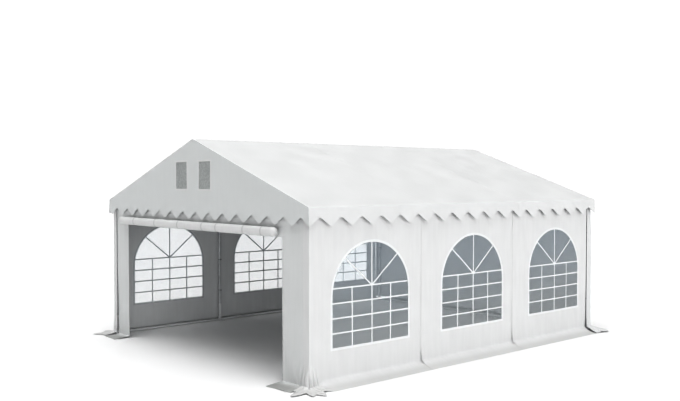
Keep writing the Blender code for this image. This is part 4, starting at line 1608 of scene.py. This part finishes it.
def ring_part(radius, thick, around=28, across=10):
    """A closed ring: point = ((R + r cos b) cos a, (R + r cos b) sin a, r sin b)."""
    a = 2 * math.pi * np.arange(around)[:, None] / around
    b = 2 * math.pi * np.arange(across)[None, :] / across
    wide, high = np.broadcast_arrays(radius + thick * np.cos(b) + 0 * a, thick * np.sin(b))
    points = np.stack([wide * np.cos(a), wide * np.sin(a), high], axis=-1)
    i, j = np.meshgrid(np.arange(around), np.arange(across), indexing="ij")
    next_i, next_j = (i + 1) % around, (j + 1) % across
    corners = [i * across + j, next_i * across + j, next_i * across + next_j, i * across + next_j]
    return points.reshape(-1, 3), np.stack(corners, axis=-1).reshape(-1, 4)


def upright_copies(name, part, places, finish):
    """Copies of one part, all upright, as one piece."""
    points, quads = set_down([part], places, [(0, 0, 1)] * len(places))
    piece = make_piece(name, points, quads, [finish], points[:, :2])


tilts = np.radians(np.linspace(-80, 80, 11))
ball = turned_part([(BALL_RADIUS * math.cos(tilt), BALL_RADIUS * math.sin(tilt)) for tilt in tilts], 16)
loop_places = [(side * POST_X, y, z) for side in (-1, 1) for y in FRAME_YS[1:] for z in LOOP_ZS]
ball_places = [(x - math.copysign(LOOP_RADIUS + BALL_RADIUS * 0.9, x), y, z) for x, y, z in loop_places]
upright_copies("wall_loops", ring_part(LOOP_RADIUS, LOOP_THICK), loop_places,
               moulded_plastic("elastic_cord", (0.10, 0.10, 0.105), 0.75))
upright_copies("wall_loop_balls", ball, ball_places,
               moulded_plastic("ball_plastic", (0.16, 0.16, 0.17), 0.35))
print("elastic loops:", len(loop_places))

# %% [markdown]
# ## Floor and light
# The tent stands in a bright studio. The floor is pale and so well lit that it fades into the white behind
# it. Big soft boxes hang overhead and above the front, another stands on the right, so that the right wall
# is brighter than the gable, and a weak one stands on the left. Nothing throws a hard shadow, but little
# light reaches far into the tent. Real lamps near the tent would light its near end more, so the boxes are
# bright patches of a sky instead.

# %% Floor
FLOOR_REACH = 60.0
FLOOR_CELLS = 24


def studio_floor():
    """A flat grid of pale floor round the tent."""
    line = np.linspace(-FLOOR_REACH, FLOOR_REACH, FLOOR_CELLS + 1)
    flat = strip(line, line).reshape(-1, 2)
    mesh = bpy.data.meshes.new("studio_floor")
    points = np.column_stack([flat, np.zeros(len(flat))])
    mesh.from_pydata(points.tolist(), [], grid_quads(len(line), len(line)).tolist())
    finish, tree, shader = start_finish("pale_floor")
    cloud = speckle(tree, object_place(tree), 0.8, 3.0)
    tree.links.new(tint(tree, cloud, (0.89, 0.89, 0.89), (0.92, 0.92, 0.92)), shader.inputs["Base Color"])
    shader.inputs["Roughness"].default_value = 0.9
    shader.inputs["Specular IOR Level"].default_value = 0.1
    mesh.materials.append(finish)
    floor = bpy.data.objects.new("studio_floor", mesh)
    bpy.context.scene.collection.objects.link(floor)


studio_floor()
print("the floor reaches", FLOOR_REACH, "m each way")

# %% Sky
SKY_GLOW = 0.07
HORIZON_GLOW = 0.65
SEEN_WHITE = 1.05
SOFT_BOXES = (  # direction, cosine where the box begins, strength
    ((0.0, 0.0, 1.0), 0.70, 1.90),
    ((0.1, -0.3, 0.95), 0.80, 2.20),
    ((1.0, 0.0, 0.0), 0.45, 1.68),
    ((-1.0, 0.0, 0.0), 0.20, 0.38),
)


def studio_sky():
    """White to the camera. As a light: a faint glow all round, a pale band at the horizon, and soft boxes.

    A box's light rises smoothly with the cosine between its direction and the ray's."""
    world = bpy.data.worlds.new("studio_sky")
    world.use_nodes = True
    tree = world.node_tree
    background = tree.nodes["Background"]
    direction = add_node(tree, "ShaderNodeTexCoord").outputs["Generated"]
    horizon = spread(tree, one_axis(tree, direction, 2), 0.05, 0.3, HORIZON_GLOW, 0.0)
    strength = sum_up(tree, "ADD", horizon, SKY_GLOW)
    for towards, limit, power in SOFT_BOXES:
        dot = add_node(tree, "ShaderNodeVectorMath", {"operation": "DOT_PRODUCT"})
        join_input(tree, dot.inputs[0], direction)
        join_input(tree, dot.inputs[1], tuple(np.array(towards) / np.linalg.norm(towards)))
        box = spread(tree, dot.outputs["Value"], limit, 1.0, 0.0, power)
        strength = sum_up(tree, "ADD", strength, box)
    seen = add_node(tree, "ShaderNodeLightPath").outputs["Is Camera Ray"]
    strength = sum_up(tree, "MULTIPLY_ADD", seen, sum_up(tree, "SUBTRACT", SEEN_WHITE, strength), strength)
    tree.links.new(strength, background.inputs["Strength"])
    background.inputs["Color"].default_value = (1.0, 1.0, 1.0, 1.0)
    bpy.context.scene.world = world


studio_sky()
bpy.context.scene.view_settings.view_transform = "Standard"
bpy.context.scene.view_settings.gamma = 0.66
print("the studio is lit by", len(SOFT_BOXES), "soft boxes")
